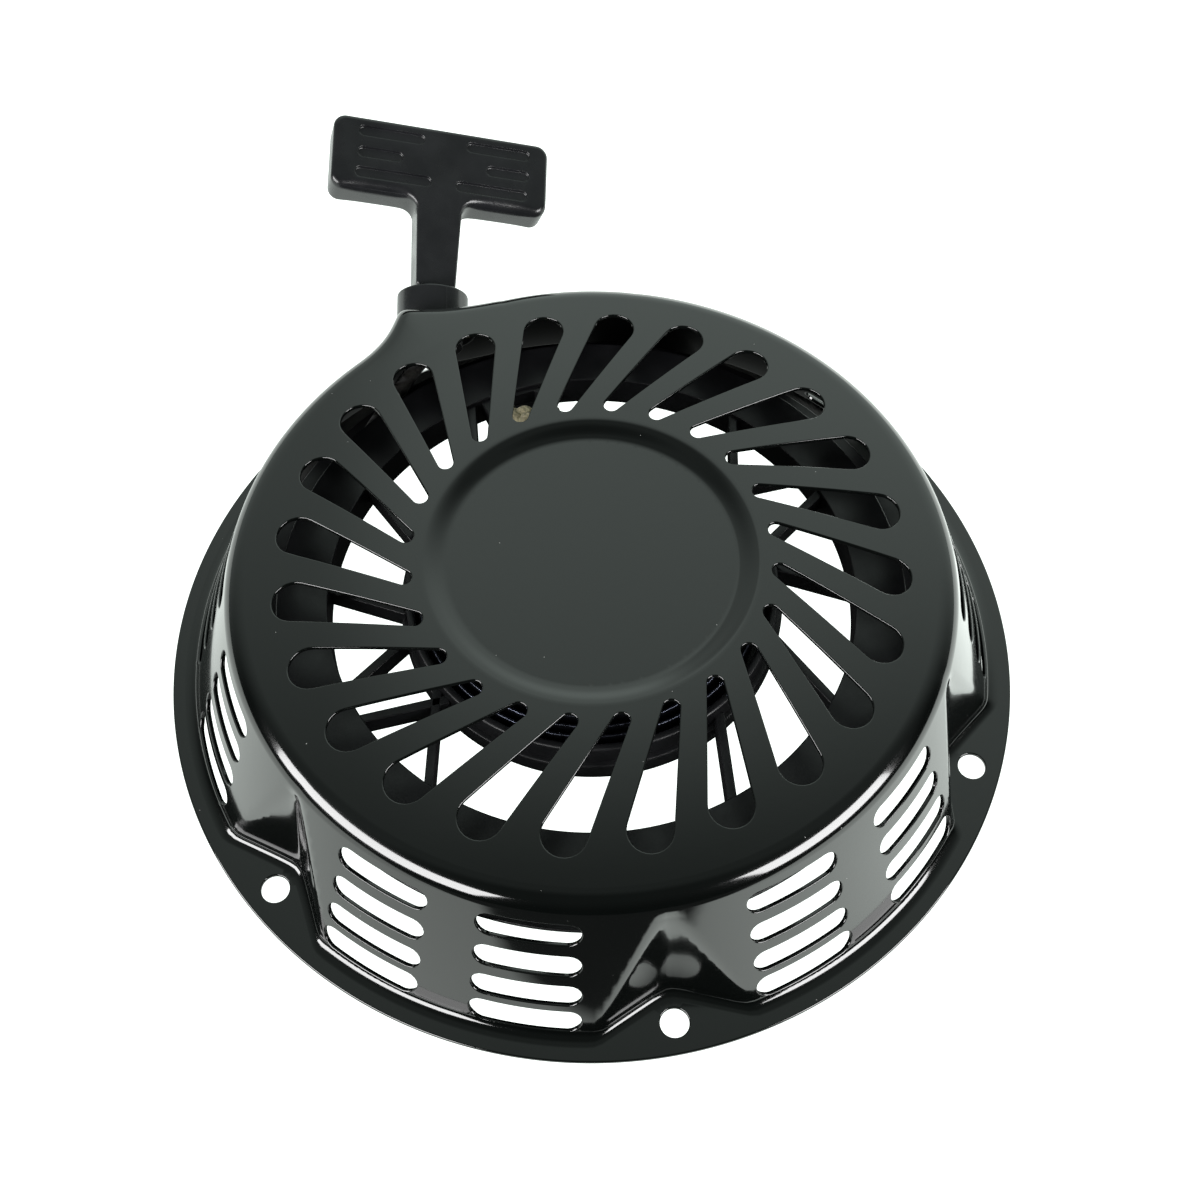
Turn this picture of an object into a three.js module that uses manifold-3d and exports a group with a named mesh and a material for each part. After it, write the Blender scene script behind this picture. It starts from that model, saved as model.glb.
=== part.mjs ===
// Recoil starter for a small four-stroke engine: a pressed steel case with a louvred crown, a spoked
// rope reel with its recoil spring, two swinging ratchets with their guide, and a T-handle on a cord.
// Millimetres, +Z up. The origin is the centre of the mounting flange, in the plane it is bolted to.
// The handle is pulled along +Y, which turns the reel clockwise as seen from above.

import * as THREE from "three";
import { mergeVertices } from "three/addons/utils/BufferGeometryUtils.js";
import Module from "manifold-3d";

const wasm = await Module();
wasm.setup();

const DEG = Math.PI / 180;
const GAP = 0.3; // running and seating clearance between neighbouring pieces

// Case
const SHEET = 1.2;
const FLANGE_RADIUS = 112.5;
const FLANGE_INNER_RADIUS = 109.8;
const WALL_FOOT = [105.7, 2.6];
const WALL_HEAD = [91.0, 39.2];
const CROWN_EDGE = [85.2, 43.2];
const CROWN_RISE = [44.5, 45.6];
const DISH_TOP = [41.2, 45.4];
const DISH_FOOT = [36.6, 43.4];
const CASE_SEGMENTS = 48;

// Louvres in the crown: straight tapered slots, swirled about the centre
const CROWN_SLOTS = 24;
const CROWN_SLOT_OUTER = { radius: 73.4, angle: 10.0, end: 5.3 };
const CROWN_SLOT_INNER = { radius: 46.4, angle: 23.3, end: 2.0 };

// Slots in the side wall, in columns of four
const SIDE_SLOT_COLUMNS = [44.5, 21.5, 359.5, 321.4, 299, 261, 239, 200.4, 177.4, 154.5];
const SIDE_SLOT_HEIGHTS = [5.9, 14.4, 24.0, 33.8];
const SIDE_SLOT_SPAN = 14.8; // degrees round the wall
const SIDE_SLOT_HEIGHT = 6.2;

// Fixing holes, each at the foot of a pressed notch in the wall
const BOLT_ANGLES = [221.5, 280.4, 339.0, 82.0];
const BOLT_CIRCLE_RADIUS = 105;
const BOLT_HOLE_RADIUS = 3.5;
const NOTCH_FOOT_RADIUS = 97.3;
const NOTCH_LEAN = 0.147; // how far the valley leans in for each mm of height
const NOTCH_SIDE = [7.2, 16.5]; // direction of the notch's flank in plan

// Rope outlet
const ROPE_X = -45.4;
const ROPE_Z = 26;
const OUTLET_TILT = 20 * DEG; // the rope's line rises as it leaves the case
const OUTLET_SEAT_Y = 88;
// Height, y of the outlet's face and x of its left corner, going up
const OUTLET_SECTIONS = [
  [0, 98.0, -54],
  [22, 90.4, -60],
  [39.2, 84.5, -55],
  [41.95, 83.1, -53.4],
  [43.15, 80.1, -52.2],
];
const OUTLET_HOLE_RADIUS = 8.3;
const OUTLET_SEAT_RADIUS = 11.6;
const COLLAR_RADIUS = 10.15;
const COLLAR_END_Y = 99;

// Reel
const REEL_RIM_RADIUS = 80;
const REEL_LOW_RIM_RADIUS = 88;
const REEL_RIM_INNER = 67;
const REEL_ROOT = 68.3;
const REEL_LOW = 20.5;
const REEL_HIGH = 30.3;
const REEL_FLANGE = 1.3;
const CUP_RADIUS = 47.4;
const CUP_WALL = 2.0;
const CUP_LOW = 19.5;
const CUP_HIGH = 32.5;
const CUP_FLOOR = 2.0;
const BOSS_RADIUS = 14.5;
const BOSS_LOW = 13.2;
const RIB_THICKNESS = 2.4;
const RIB_LOW = 23;
const RIB_HIGH = 29;
// One half turn of ribs, as [angle at the rim, angle at the cup]; the other half repeats it
const RIBS = [[179.5, 188], [206, 196], [213, 222], [235, 216], [299, 311], [331, 343]];
const KNOT_ANGLE = 109;
const KNOT_RADIUS_FROM_AXIS = 59;

// Post, ratchets and guide
const POST_RADIUS = 10.1;
const POST_LOW = 7.2;
const POST_NECK_RADIUS = 8.4; // through the ratchet guide
const POST_NECK_TOP = 12;
const POST_PLATE_RADIUS = 22;
const POST_PLATE_TOP = 41.7;
const SCREW_RADIUS = 3;
const PIVOT_DISTANCE = 26;
const PIVOT_RADIUS = 3.4;
const RATCHET_LOW = 13.0;
const RATCHET_HIGH = 16.9;
const RATCHET_PEG = [-6, -9]; // from the pivot
const RATCHET_PEG_RADIUS = 2.2;
const PEG_LOW = 9.7;
const PEG_SHANK_RADIUS = 1.2;
const RATCHET_SWING = 30;
const GUIDE_TURN = 25;
const GUIDE_LOW = 10.4;
const GUIDE_HIGH = 11.9;
const GUIDE_RADIUS = 32.5;
const GUIDE_BORE = 12.8;

// Rope and handle
const ROPE_RADIUS = 2.3;
const LEAD_REEL_RADIUS = 77.3;
const HANDLE_ROLL = 16.1 * DEG;
const HANDLE_YAW = -1.8 * DEG;
const STEM_START = 99.6;
const BAR_START = 126.3;
const BAR_END = 148.5;
const BAR_LENGTH = 63;
const HANDLE_THICKNESS = 11;
const HANDLE_BEVEL = 2;
const STEM_WIDTH_LOW = 11.4;
const STEM_WIDTH_HIGH = 13.3;
const KNOT_POCKET_START = 135;
const KNOT_POCKET_RADIUS = 4.1;
const HANDLE_KNOT_RADIUS = 3.5;

// ---------- solids ----------

// Turns a closed geometry into a solid, with its shared vertices merged.
function solid(geometry) {
  const bare = geometry.clone();
  bare.deleteAttribute("normal");
  bare.deleteAttribute("uv");
  const merged = mergeVertices(bare, 1e-4);
  return new wasm.Manifold(
    new wasm.Mesh({
      numProp: 3,
      vertProperties: new Float32Array(merged.attributes.position.array),
      triVerts: new Uint32Array(merged.index.array),
    }),
  );
}

function geometryOf(shape) {
  const mesh = shape.getMesh();
  const geometry = new THREE.BufferGeometry();
  geometry.setAttribute("position", new THREE.BufferAttribute(new Float32Array(mesh.vertProperties), 3));
  geometry.setIndex(new THREE.BufferAttribute(new Uint32Array(mesh.triVerts), 1));
  geometry.computeVertexNormals();
  return geometry;
}

function union(parts) {
  return parts.reduce((all, part) => all.add(part));
}

function cut(body, tools) {
  return tools.reduce((left, tool) => left.subtract(tool), body);
}

// A solid of revolution about +Z from [radius, height] points that run downwards on the outside.
function turned(points, segments = CASE_SEGMENTS) {
  const profile = points.map(([r, z]) => new THREE.Vector2(Math.max(r, 0), z)).reverse();
  if (points[0][0] > 0 || points[points.length - 1][0] > 0) profile.push(profile[0].clone());
  const geometry = new THREE.LatheGeometry(profile, segments);
  geometry.rotateX(Math.PI / 2);
  return solid(geometry);
}

// A ring or disc between two heights.
function ring(inner, outer, low, high, segments = 32) {
  return turned([[inner, high], [outer, high], [outer, low], [inner, low]], segments);
}

// An outline in the XY plane, extruded from low to high.
function prism(points, low, high) {
  const shape = new THREE.Shape(points.map(([x, y]) => new THREE.Vector2(x, y)));
  const geometry = new THREE.ExtrudeGeometry(shape, { depth: high - low, bevelEnabled: false });
  geometry.translate(0, 0, low);
  return solid(geometry);
}

function placed(body, matrix) {
  const geometry = geometryOf(body);
  geometry.applyMatrix4(matrix);
  return solid(geometry);
}

function spun(body, degrees) {
  return placed(body, new THREE.Matrix4().makeRotationZ(degrees * DEG));
}

function polar(radius, degrees) {
  return [radius * Math.cos(degrees * DEG), radius * Math.sin(degrees * DEG)];
}

// The outline round two circles joined by their outer tangents.
function capsule([ax, ay], ra, [bx, by], rb, steps = 5) {
  const along = Math.atan2(by - ay, bx - ax);
  const lean = Math.acos((ra - rb) / Math.hypot(bx - ax, by - ay));
  const points = [];
  for (let i = 0; i <= steps; i++) {
    const t = along + lean + (2 * (Math.PI - lean) * i) / steps;
    points.push([ax + ra * Math.cos(t), ay + ra * Math.sin(t)]);
  }
  for (let i = 0; i <= steps; i++) {
    const t = along - lean + (2 * lean * i) / steps;
    points.push([bx + rb * Math.cos(t), by + rb * Math.sin(t)]);
  }
  return points;
}

// A closed skin over rings of points that share one count, capped at both ends.
function loft(rings) {
  const count = rings[0].length;
  const vertices = rings.flat().flat();
  const faces = [];
  for (let k = 0; k + 1 < rings.length; k++) {
    for (let i = 0; i < count; i++) {
      const a = k * count + i;
      const b = k * count + ((i + 1) % count);
      faces.push(a, b, b + count, a, b + count, a + count);
    }
  }
  for (let i = 1; i + 1 < count; i++) {
    const top = (rings.length - 1) * count;
    faces.push(0, i + 1, i, top, top + i, top + i + 1);
  }
  const geometry = new THREE.BufferGeometry();
  geometry.setAttribute("position", new THREE.Float32BufferAttribute(vertices, 3));
  geometry.setIndex(faces);
  return solid(geometry);
}

// Moves each point of an open path sideways by a distance, to the left of its run.
function besides(points, distance) {
  return points.map((point, i) => {
    const before = points[Math.max(i - 1, 0)];
    const after = points[Math.min(i + 1, points.length - 1)];
    const one = new THREE.Vector2(point[0] - before[0], point[1] - before[1]);
    const two = new THREE.Vector2(after[0] - point[0], after[1] - point[1]);
    if (i === 0) one.copy(two);
    if (i === points.length - 1) two.copy(one);
    const tangent = one.normalize().add(two.normalize());
    const half = tangent.length() / 2;
    tangent.normalize();
    return [point[0] - (tangent.y * distance) / half, point[1] + (tangent.x * distance) / half];
  });
}

// The tilt of the rope's line about the middle of the outlet's seat.
function outletTilt() {
  const matrix = new THREE.Matrix4().makeTranslation(0, OUTLET_SEAT_Y, ROPE_Z);
  matrix.multiply(new THREE.Matrix4().makeRotationX(OUTLET_TILT));
  return matrix.multiply(new THREE.Matrix4().makeTranslation(0, -OUTLET_SEAT_Y, -ROPE_Z));
}

// Turns +Z geometry so that it runs along the rope's line out of the case.
function alongRope(body) {
  const matrix = outletTilt();
  matrix.multiply(new THREE.Matrix4().makeTranslation(ROPE_X, 0, ROPE_Z));
  return placed(body, matrix.multiply(new THREE.Matrix4().makeRotationX(-Math.PI / 2)));
}

// ---------- case ----------

// The outside of the pressing from the centre of the dish down to the flange.
function caseProfile() {
  const arc = (from, to, steps, bulge) => {
    const points = [];
    for (let i = 1; i < steps; i++) {
      const t = i / steps;
      const control = [bulge[0], bulge[1]];
      const a = (1 - t) * (1 - t);
      const b = 2 * t * (1 - t);
      points.push([0, 1].map((k) => a * from[k] + b * control[k] + t * t * to[k]));
    }
    return points;
  };
  return [
    [0, DISH_FOOT[1]],
    DISH_FOOT,
    DISH_TOP,
    CROWN_RISE,
    [79, 43.9],
    CROWN_EDGE,
    ...arc(CROWN_EDGE, WALL_HEAD, 3, [89.2, 43.0]),
    WALL_HEAD,
    WALL_FOOT,
    ...arc(WALL_FOOT, [FLANGE_INNER_RADIUS, SHEET], 2, [106.3, 1.25]),
    [FLANGE_INNER_RADIUS, SHEET],
    [FLANGE_RADIUS, SHEET],
  ];
}

// The raised outlet in plan at one height, moved in by inset.
function outletRing(height, facet, left, inset) {
  const y = facet - inset;
  return [
    [left - 10.4 + inset, y - 34, height],
    [-40, 10, height],
    [-5, 60, height],
    [-24 - inset * 0.3, y, height],
    [left + inset, y, height],
    [left - 4.4 + inset, y - 14.3, height],
  ];
}

function outlet(inset) {
  const last = OUTLET_SECTIONS.length - 1;
  return loft(OUTLET_SECTIONS.map(([height, facet, left], i) => {
    const lowered = i === 0 ? -Math.sign(inset) : height - (i < last - 1 ? 0 : inset);
    return outletRing(lowered, facet, left, inset);
  }));
}

// The notch above one fixing hole; grown moves its flanks into the case by a distance.
function notch(angle, grown) {
  const [dx, dy] = NOTCH_SIDE;
  const reach = 2.2;
  const back = (grown * Math.hypot(dx, dy)) / dy;
  const floor = SHEET - grown;
  const section = (z) => {
    const valley = NOTCH_FOOT_RADIUS - NOTCH_LEAN * (z - SHEET) - back;
    return [
      [valley, 0, z],
      [valley + reach * dx, reach * dy * -1, z],
      [valley + reach * dx, reach * dy, z],
    ];
  };
  return spun(loft([section(floor), section(46)]), angle);
}

function outletSeat(grown) {
  return alongRope(ring(0, OUTLET_SEAT_RADIUS + grown, OUTLET_SEAT_Y - grown, 120, 24));
}

function crownSlot(index) {
  const turn = (360 / CROWN_SLOTS) * index;
  const outer = polar(CROWN_SLOT_OUTER.radius, CROWN_SLOT_OUTER.angle + turn);
  const inner = polar(CROWN_SLOT_INNER.radius, CROWN_SLOT_INNER.angle + turn);
  return prism(capsule(outer, CROWN_SLOT_OUTER.end, inner, CROWN_SLOT_INNER.end, 3), 38, 50);
}

function sideSlot(angle, height) {
  const half = SIDE_SLOT_HEIGHT / 2;
  const lean = (WALL_FOOT[0] - WALL_HEAD[0]) / (WALL_HEAD[1] - WALL_FOOT[1]);
  const wallRadius = WALL_FOOT[0] - (height - WALL_FOOT[1]) * lean;
  const reach = wallRadius * Math.sin((SIDE_SLOT_SPAN / 2) * DEG) - half;
  const body = prism(capsule([0, -reach], half, [0, reach], half, 3), 80, 118);
  const upright = new THREE.Matrix4().makeRotationY(Math.PI / 2);
  const raised = new THREE.Matrix4().makeTranslation(0, 0, height);
  return spun(placed(body, raised.multiply(upright)), angle);
}

function boltHole(angle) {
  const [x, y] = polar(BOLT_CIRCLE_RADIUS, angle);
  return placed(ring(0, BOLT_HOLE_RADIUS, -3, 5, 16), new THREE.Matrix4().makeTranslation(x, y, 0));
}

function housing() {
  const outside = caseProfile();
  const inside = besides(outside.slice(0, -1), -SHEET);
  inside[0][0] = 0;
  const lowest = inside[inside.length - 1];
  const shell = turned([...outside, [FLANGE_RADIUS, 0], [0, 0]]);
  const hollow = turned([...inside.slice(0, -1), [lowest[0], -0.01], [lowest[0], -5], [0, -5]]);
  const skin = cut(shell.add(outlet(0)), [
    ...BOLT_ANGLES.map((angle) => notch(angle, 0)),
    outletSeat(0),
  ]);
  const core = cut(hollow.add(outlet(SHEET)), [
    ...BOLT_ANGLES.map((angle) => notch(angle, SHEET)),
    outletSeat(SHEET),
  ]);
  const slots = Array.from({ length: CROWN_SLOTS }, (_, i) => crownSlot(i));
  for (const angle of SIDE_SLOT_COLUMNS) {
    slots.push(...SIDE_SLOT_HEIGHTS.map((height) => sideSlot(angle, height)));
  }
  return cut(skin.subtract(core), [
    union(slots),
    ...BOLT_ANGLES.map(boltHole),
    alongRope(ring(0, OUTLET_HOLE_RADIUS, 70, 130, 24)),
  ]);
}

// The stud that carries the reel, with the plate that is welded under the dish.
function centrePost() {
  const body = turned([
    [0, POST_PLATE_TOP],
    [POST_PLATE_RADIUS, POST_PLATE_TOP],
    [POST_PLATE_RADIUS, POST_PLATE_TOP - 1.5],
    [13, POST_PLATE_TOP - 1.5],
    [POST_RADIUS, POST_PLATE_TOP - 4.5],
    [POST_RADIUS, POST_NECK_TOP],
    [POST_NECK_RADIUS, POST_NECK_TOP],
    [POST_NECK_RADIUS, POST_LOW],
    [0, POST_LOW],
  ], 32);
  const thread = ring(0, SCREW_RADIUS + GAP, POST_LOW - 1, 28, 16);
  const springSlot = prism([[-0.8, 4], [0.8, 4], [0.8, 12], [-0.8, 12]], 21.6, 34);
  return cut(body, [thread, springSlot]);
}

// The plastic collar that the rope runs through, snapped into the outlet.
function ropeGuide() {
  const neck = OUTLET_HOLE_RADIUS - GAP;
  return alongRope(turned([
    [3.4, COLLAR_END_Y - 1.6],
    [5, COLLAR_END_Y],
    [COLLAR_RADIUS - 1, COLLAR_END_Y],
    [COLLAR_RADIUS, COLLAR_END_Y - 1],
    [COLLAR_RADIUS, OUTLET_SEAT_Y + GAP],
    [neck, OUTLET_SEAT_Y + GAP],
    [neck, OUTLET_SEAT_Y - SHEET - GAP],
    [neck + 1.0, OUTLET_SEAT_Y - SHEET - GAP],
    [neck + 0.4, 83.6],
    [6, 83.2],
    [3.4, 85.5],
  ], 28));
}

// ---------- reel ----------

function rib(angleAtRim, angleAtCup) {
  const out = new THREE.Vector2(...polar(REEL_RIM_INNER + 0.6, angleAtRim));
  const inn = new THREE.Vector2(...polar(CUP_RADIUS - 0.8, angleAtCup));
  const side = out.clone().sub(inn).normalize().multiplyScalar(RIB_THICKNESS / 2);
  return prism([
    [inn.x + side.y, inn.y - side.x],
    [out.x + side.y, out.y - side.x],
    [out.x - side.y, out.y + side.x],
    [inn.x - side.y, inn.y + side.x],
  ], RIB_LOW, RIB_HIGH);
}

// The pocket inside the rim where the end of the rope is knotted.
function knotPocket() {
  const block = prism([[53, -7.5], [67.6, -9], [67.6, 9], [53, 7.5]], RIB_LOW, RIB_HIGH);
  const room = prism([[55, -5.6], [65.8, -6.6], [65.8, 6.6], [55, 5.6]], RIB_LOW + 1.6, RIB_HIGH + 1);
  return spun(block.subtract(room), KNOT_ANGLE);
}

function reel() {
  const rim = turned([
    [REEL_RIM_INNER, REEL_HIGH],
    [REEL_RIM_RADIUS, REEL_HIGH],
    [REEL_RIM_RADIUS, REEL_HIGH - REEL_FLANGE],
    [REEL_ROOT, REEL_HIGH - REEL_FLANGE],
    [REEL_ROOT, REEL_LOW + REEL_FLANGE],
    [REEL_LOW_RIM_RADIUS, REEL_LOW + REEL_FLANGE],
    [REEL_LOW_RIM_RADIUS, REEL_LOW],
    [REEL_RIM_INNER, REEL_LOW],
  ], 48);
  const cup = turned([
    [CUP_RADIUS - CUP_WALL, CUP_HIGH],
    [CUP_RADIUS, CUP_HIGH],
    [CUP_RADIUS, CUP_LOW],
    [BOSS_RADIUS, CUP_LOW],
    [BOSS_RADIUS, BOSS_LOW],
    [POST_RADIUS + GAP, BOSS_LOW],
    [POST_RADIUS + GAP, CUP_LOW + CUP_FLOOR],
    [CUP_RADIUS - CUP_WALL, CUP_LOW + CUP_FLOOR],
  ], 36);
  const parts = [rim, cup, knotPocket()];
  for (const half of [0, 180]) {
    parts.push(...RIBS.map(([a, b]) => rib(a + half, b + half)));
    const pivot = ring(0, PIVOT_RADIUS, 12.6, CUP_LOW + 0.5, 16);
    parts.push(spun(placed(pivot, new THREE.Matrix4().makeTranslation(PIVOT_DISTANCE, 0, 0)), half));
    parts.push(spun(prism([[31, 5.5], [40, 4], [41, 8], [32, 9.5]], 14, CUP_LOW + 0.5), half));
  }
  return union(parts);
}

// The flat recoil spring, wound from the post out to the wall of the cup.
function recoilSpring() {
  const turns = 6;
  const steps = turns * 18;
  const inner = POST_RADIUS + 1.2;
  const outer = CUP_RADIUS - CUP_WALL - 1.4;
  const strip = 0.9;
  const at = (i, offset) => {
    const radius = inner + ((outer - inner) * i) / steps + offset;
    return polar(radius, 90 - (360 * turns * i) / steps);
  };
  const points = [];
  for (let i = 0; i <= steps; i++) points.push(at(i, strip / 2));
  for (let i = steps; i >= 0; i--) points.push(at(i, -strip / 2));
  const tab = prism([[-0.4, 7.2], [0.4, 7.2], [0.4, inner], [-0.4, inner]], 22.2, 31.6);
  return prism(points, 22.2, 31.6).add(tab);
}

function woundRope() {
  const outer = LEAD_REEL_RADIUS - ROPE_RADIUS - GAP;
  return ring(REEL_ROOT + GAP, outer, REEL_LOW + REEL_FLANGE + GAP, REEL_HIGH - REEL_FLANGE - GAP, 48);
}

function roundKnot(radius) {
  const geometry = new THREE.IcosahedronGeometry(radius, 2);
  geometry.scale(1, 1, 0.85);
  return solid(geometry);
}

function reelRopeKnot() {
  const [x, y] = polar(KNOT_RADIUS_FROM_AXIS, KNOT_ANGLE);
  return placed(roundKnot(3.4), new THREE.Matrix4().makeTranslation(x, y, 28.2));
}

// ---------- ratchets and guide ----------

// Moves a piece drawn on the Z axis to the peg's place on a ratchet at rest.
function atPeg(body) {
  const [dx, dy] = RATCHET_PEG;
  return placed(body, new THREE.Matrix4().makeTranslation(PIVOT_DISTANCE + dx, dy, 0));
}

// One ratchet at rest beside its pivot on +X.
function ratchet() {
  const pivot = [PIVOT_DISTANCE, 0];
  const tip = [PIVOT_DISTANCE - 4, -21.5];
  const body = prism(capsule(pivot, 5.6, tip, 2.4, 6), RATCHET_LOW, RATCHET_HIGH);
  const tooth = prism([[20.5, -19], [25.5, -17.5], [26.6, -24.6], [21.4, -24]], RATCHET_LOW, RATCHET_HIGH);
  const arm = prism(
    capsule([PIVOT_DISTANCE - 3, -5], 4, [PIVOT_DISTANCE + RATCHET_PEG[0], RATCHET_PEG[1]], 3.2, 4),
    RATCHET_LOW,
    RATCHET_HIGH,
  );
  const bore = ring(0, PIVOT_RADIUS + GAP, 5, 25, 16);
  const drilled = placed(bore, new THREE.Matrix4().makeTranslation(PIVOT_DISTANCE, 0, 0));
  const pegHole = atPeg(ring(0, PEG_SHANK_RADIUS + GAP, 5, 25, 12));
  return cut(union([body, tooth, arm]), [drilled, pegHole]);
}

// The pin riveted into a ratchet that the guide's slot steers.
function ratchetPeg() {
  return atPeg(turned([
    [0, RATCHET_HIGH - GAP],
    [PEG_SHANK_RADIUS, RATCHET_HIGH - GAP],
    [PEG_SHANK_RADIUS, RATCHET_LOW - GAP],
    [RATCHET_PEG_RADIUS, RATCHET_LOW - GAP],
    [RATCHET_PEG_RADIUS, PEG_LOW],
    [0, PEG_LOW],
  ], 14));
}

// A torsion spring round the pivot, above the ratchet.
function ratchetSpring() {
  const coil = ring(PIVOT_RADIUS + 0.4, PIVOT_RADIUS + 1.6, 17.3, 19.1, 20);
  const shifted = placed(coil, new THREE.Matrix4().makeTranslation(PIVOT_DISTANCE, 0, 0));
  const legOut = prism([[25, 4.2], [26, 4], [33.5, 3.6], [33.5, 4.6], [26, 5]], 17.4, 18.4);
  const legIn = prism([[21.4, 0], [22.2, 0], [21.6, -12], [20.8, -12]], 17.4, 18.4);
  return union([shifted, legOut, legIn]);
}

// The peg's place on the guide after the guide has turned by a share of its range.
function pegOnGuide(share) {
  const swing = RATCHET_SWING * share * DEG;
  const turn = -GUIDE_TURN * share * DEG;
  const peg = new THREE.Vector2(...RATCHET_PEG).rotateAround(new THREE.Vector2(), swing);
  peg.x += PIVOT_DISTANCE;
  peg.rotateAround(new THREE.Vector2(), turn);
  return [peg.x, peg.y];
}

function ratchetGuide() {
  const plate = ring(GUIDE_BORE, GUIDE_RADIUS, GUIDE_LOW, GUIDE_HIGH, 40);
  const collar = ring(15, 16.2, POST_LOW, GUIDE_LOW + 0.5, 28);
  const tools = [];
  const steps = 4;
  const radius = RATCHET_PEG_RADIUS + 0.45;
  for (const half of [0, 180]) {
    for (let i = 0; i < steps; i++) {
      const shape = capsule(pegOnGuide(i / steps), radius + 0.01, pegOnGuide((i + 1) / steps), radius, 6);
      tools.push(spun(prism(shape, 5, 15), half));
    }
    const window = prism(capsule([24.5, 9], 3.2, [17.5, 21], 3.2, 5), 5, 15);
    tools.push(spun(window, half));
  }
  return cut(plate.add(collar), tools);
}

function frictionSpring() {
  const wire = ring(16.5, 18.0, 7.8, 9.3, 32);
  const opening = prism([[0, 0], [30, -4], [30, 4]], 5, 12);
  const tail = prism([[17.6, 1.9], [24, 4.4], [23.4, 5.9], [16.9, 3.4]], 7.8, 9.3);
  return wire.subtract(opening).add(tail);
}

function thrustWasher() {
  return ring(POST_RADIUS + GAP + 0.1, 16, GUIDE_HIGH + GAP, BOSS_LOW - GAP, 32);
}

function frictionPlate() {
  return ring(SCREW_RADIUS + GAP, 19.5, 5.6, POST_LOW - GAP, 32);
}

function centreScrew() {
  const shank = ring(0, SCREW_RADIUS, 4.5, 26, 16);
  const flange = ring(0, 9, 4.0, 5.3, 24);
  const hexagon = Array.from({ length: 6 }, (_, i) => polar(5.8, 60 * i));
  return union([shank, flange, prism(hexagon, 0.9, 4.2)]);
}

// ---------- rope lead and handle ----------

// The stretch of rope from the reel, through the collar, into the handle.
function ropeLead() {
  const point = (px, py, pz) => new THREE.Vector3(px, py, pz);
  const tilt = outletTilt();
  const onLine = (along, aside = 0) => point(ROPE_X + aside, along, ROPE_Z).applyMatrix4(tilt);
  const mouth = onLine(85);
  const guideMouth = new THREE.Vector2(mouth.x, mouth.y);
  const reach = Math.acos(LEAD_REEL_RADIUS / guideMouth.length());
  const leaving = guideMouth.angle() + reach;
  const x = LEAD_REEL_RADIUS * Math.cos(leaving);
  const y = LEAD_REEL_RADIUS * Math.sin(leaving);
  const mix = (t) => point(x + (ROPE_X - x) * t, y + (mouth.y - y) * t, 25.4 + (mouth.z - 25.4) * t);
  const path = new THREE.CurvePath();
  const bendStart = mix(0.93);
  const bendEnd = onLine(90);
  path.add(new THREE.LineCurve3(mix(0), bendStart));
  path.add(new THREE.QuadraticBezierCurve3(bendStart, mix(1), bendEnd));
  path.add(new THREE.LineCurve3(bendEnd, onLine(STEM_START)));
  const inHandle = KNOT_POCKET_START + 1.4 - STEM_START;
  const end = onLine(STEM_START + inHandle * Math.cos(HANDLE_YAW), -inHandle * Math.sin(HANDLE_YAW));
  path.add(new THREE.LineCurve3(onLine(STEM_START), end));
  const section = new THREE.Shape(
    Array.from({ length: 8 }, (_, i) => new THREE.Vector2(...polar(ROPE_RADIUS, 45 * i + 22.5))),
  );
  const geometry = new THREE.ExtrudeGeometry(section, { steps: 36, bevelEnabled: false, extrudePath: path });
  return solid(geometry);
}

// Places a piece drawn with the rope along +Y through the origin: rolls and yaws it with the handle.
function onHandle(body) {
  const matrix = outletTilt();
  matrix.multiply(new THREE.Matrix4().makeTranslation(ROPE_X, STEM_START, ROPE_Z));
  matrix.multiply(new THREE.Matrix4().makeRotationZ(HANDLE_YAW));
  matrix.multiply(new THREE.Matrix4().makeRotationY(HANDLE_ROLL));
  matrix.multiply(new THREE.Matrix4().makeTranslation(0, -STEM_START, 0));
  return placed(body, matrix);
}

// The T in plan, with rounded ends and a stem that widens towards the bar.
function handleOutline() {
  const half = BAR_LENGTH / 2;
  const corner = 3;
  const right = [
    [STEM_WIDTH_LOW / 2, STEM_START],
    [STEM_WIDTH_HIGH / 2, BAR_START - 4],
    [STEM_WIDTH_HIGH / 2 + 1.2, BAR_START - 1.2],
    [STEM_WIDTH_HIGH / 2 + 4, BAR_START],
    [half - corner, BAR_START],
    [half - 0.9, BAR_START + 0.9],
    [half, BAR_START + corner],
    [half, BAR_END - corner],
    [half - 0.9, BAR_END - 0.9],
    [half - corner, BAR_END],
  ];
  return [...right, ...right.map(([x, y]) => [-x, y]).reverse()];
}

function handleGrip() {
  const shape = new THREE.Shape(handleOutline().map(([x, y]) => new THREE.Vector2(x, y)));
  const geometry = new THREE.ExtrudeGeometry(shape, {
    depth: HANDLE_THICKNESS - 2 * HANDLE_BEVEL,
    bevelEnabled: true,
    bevelThickness: HANDLE_BEVEL,
    bevelSize: HANDLE_BEVEL,
    bevelOffset: -HANDLE_BEVEL,
    bevelSegments: 2,
  });
  geometry.translate(0, 0, HANDLE_BEVEL - HANDLE_THICKNESS / 2);
  const rope = new THREE.Matrix4().makeRotationX(-Math.PI / 2);
  const hole = placed(ring(0, ROPE_RADIUS + 0.5, 90, KNOT_POCKET_START + 1, 14), rope);
  const pocket = placed(ring(0, KNOT_POCKET_RADIUS, KNOT_POCKET_START, 180, 20), rope);
  return onHandle(cut(solid(geometry), [hole, pocket]));
}

function handleWasher() {
  const rope = new THREE.Matrix4().makeRotationX(-Math.PI / 2);
  const start = KNOT_POCKET_START + GAP;
  return onHandle(placed(ring(ROPE_RADIUS + 0.6, KNOT_POCKET_RADIUS - GAP, start, start + 1.4, 20), rope));
}

function handleRopeKnot() {
  const matrix = new THREE.Matrix4().makeTranslation(0, KNOT_POCKET_START + 5.4, 0);
  return onHandle(placed(roundKnot(HANDLE_KNOT_RADIUS), matrix));
}

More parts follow.
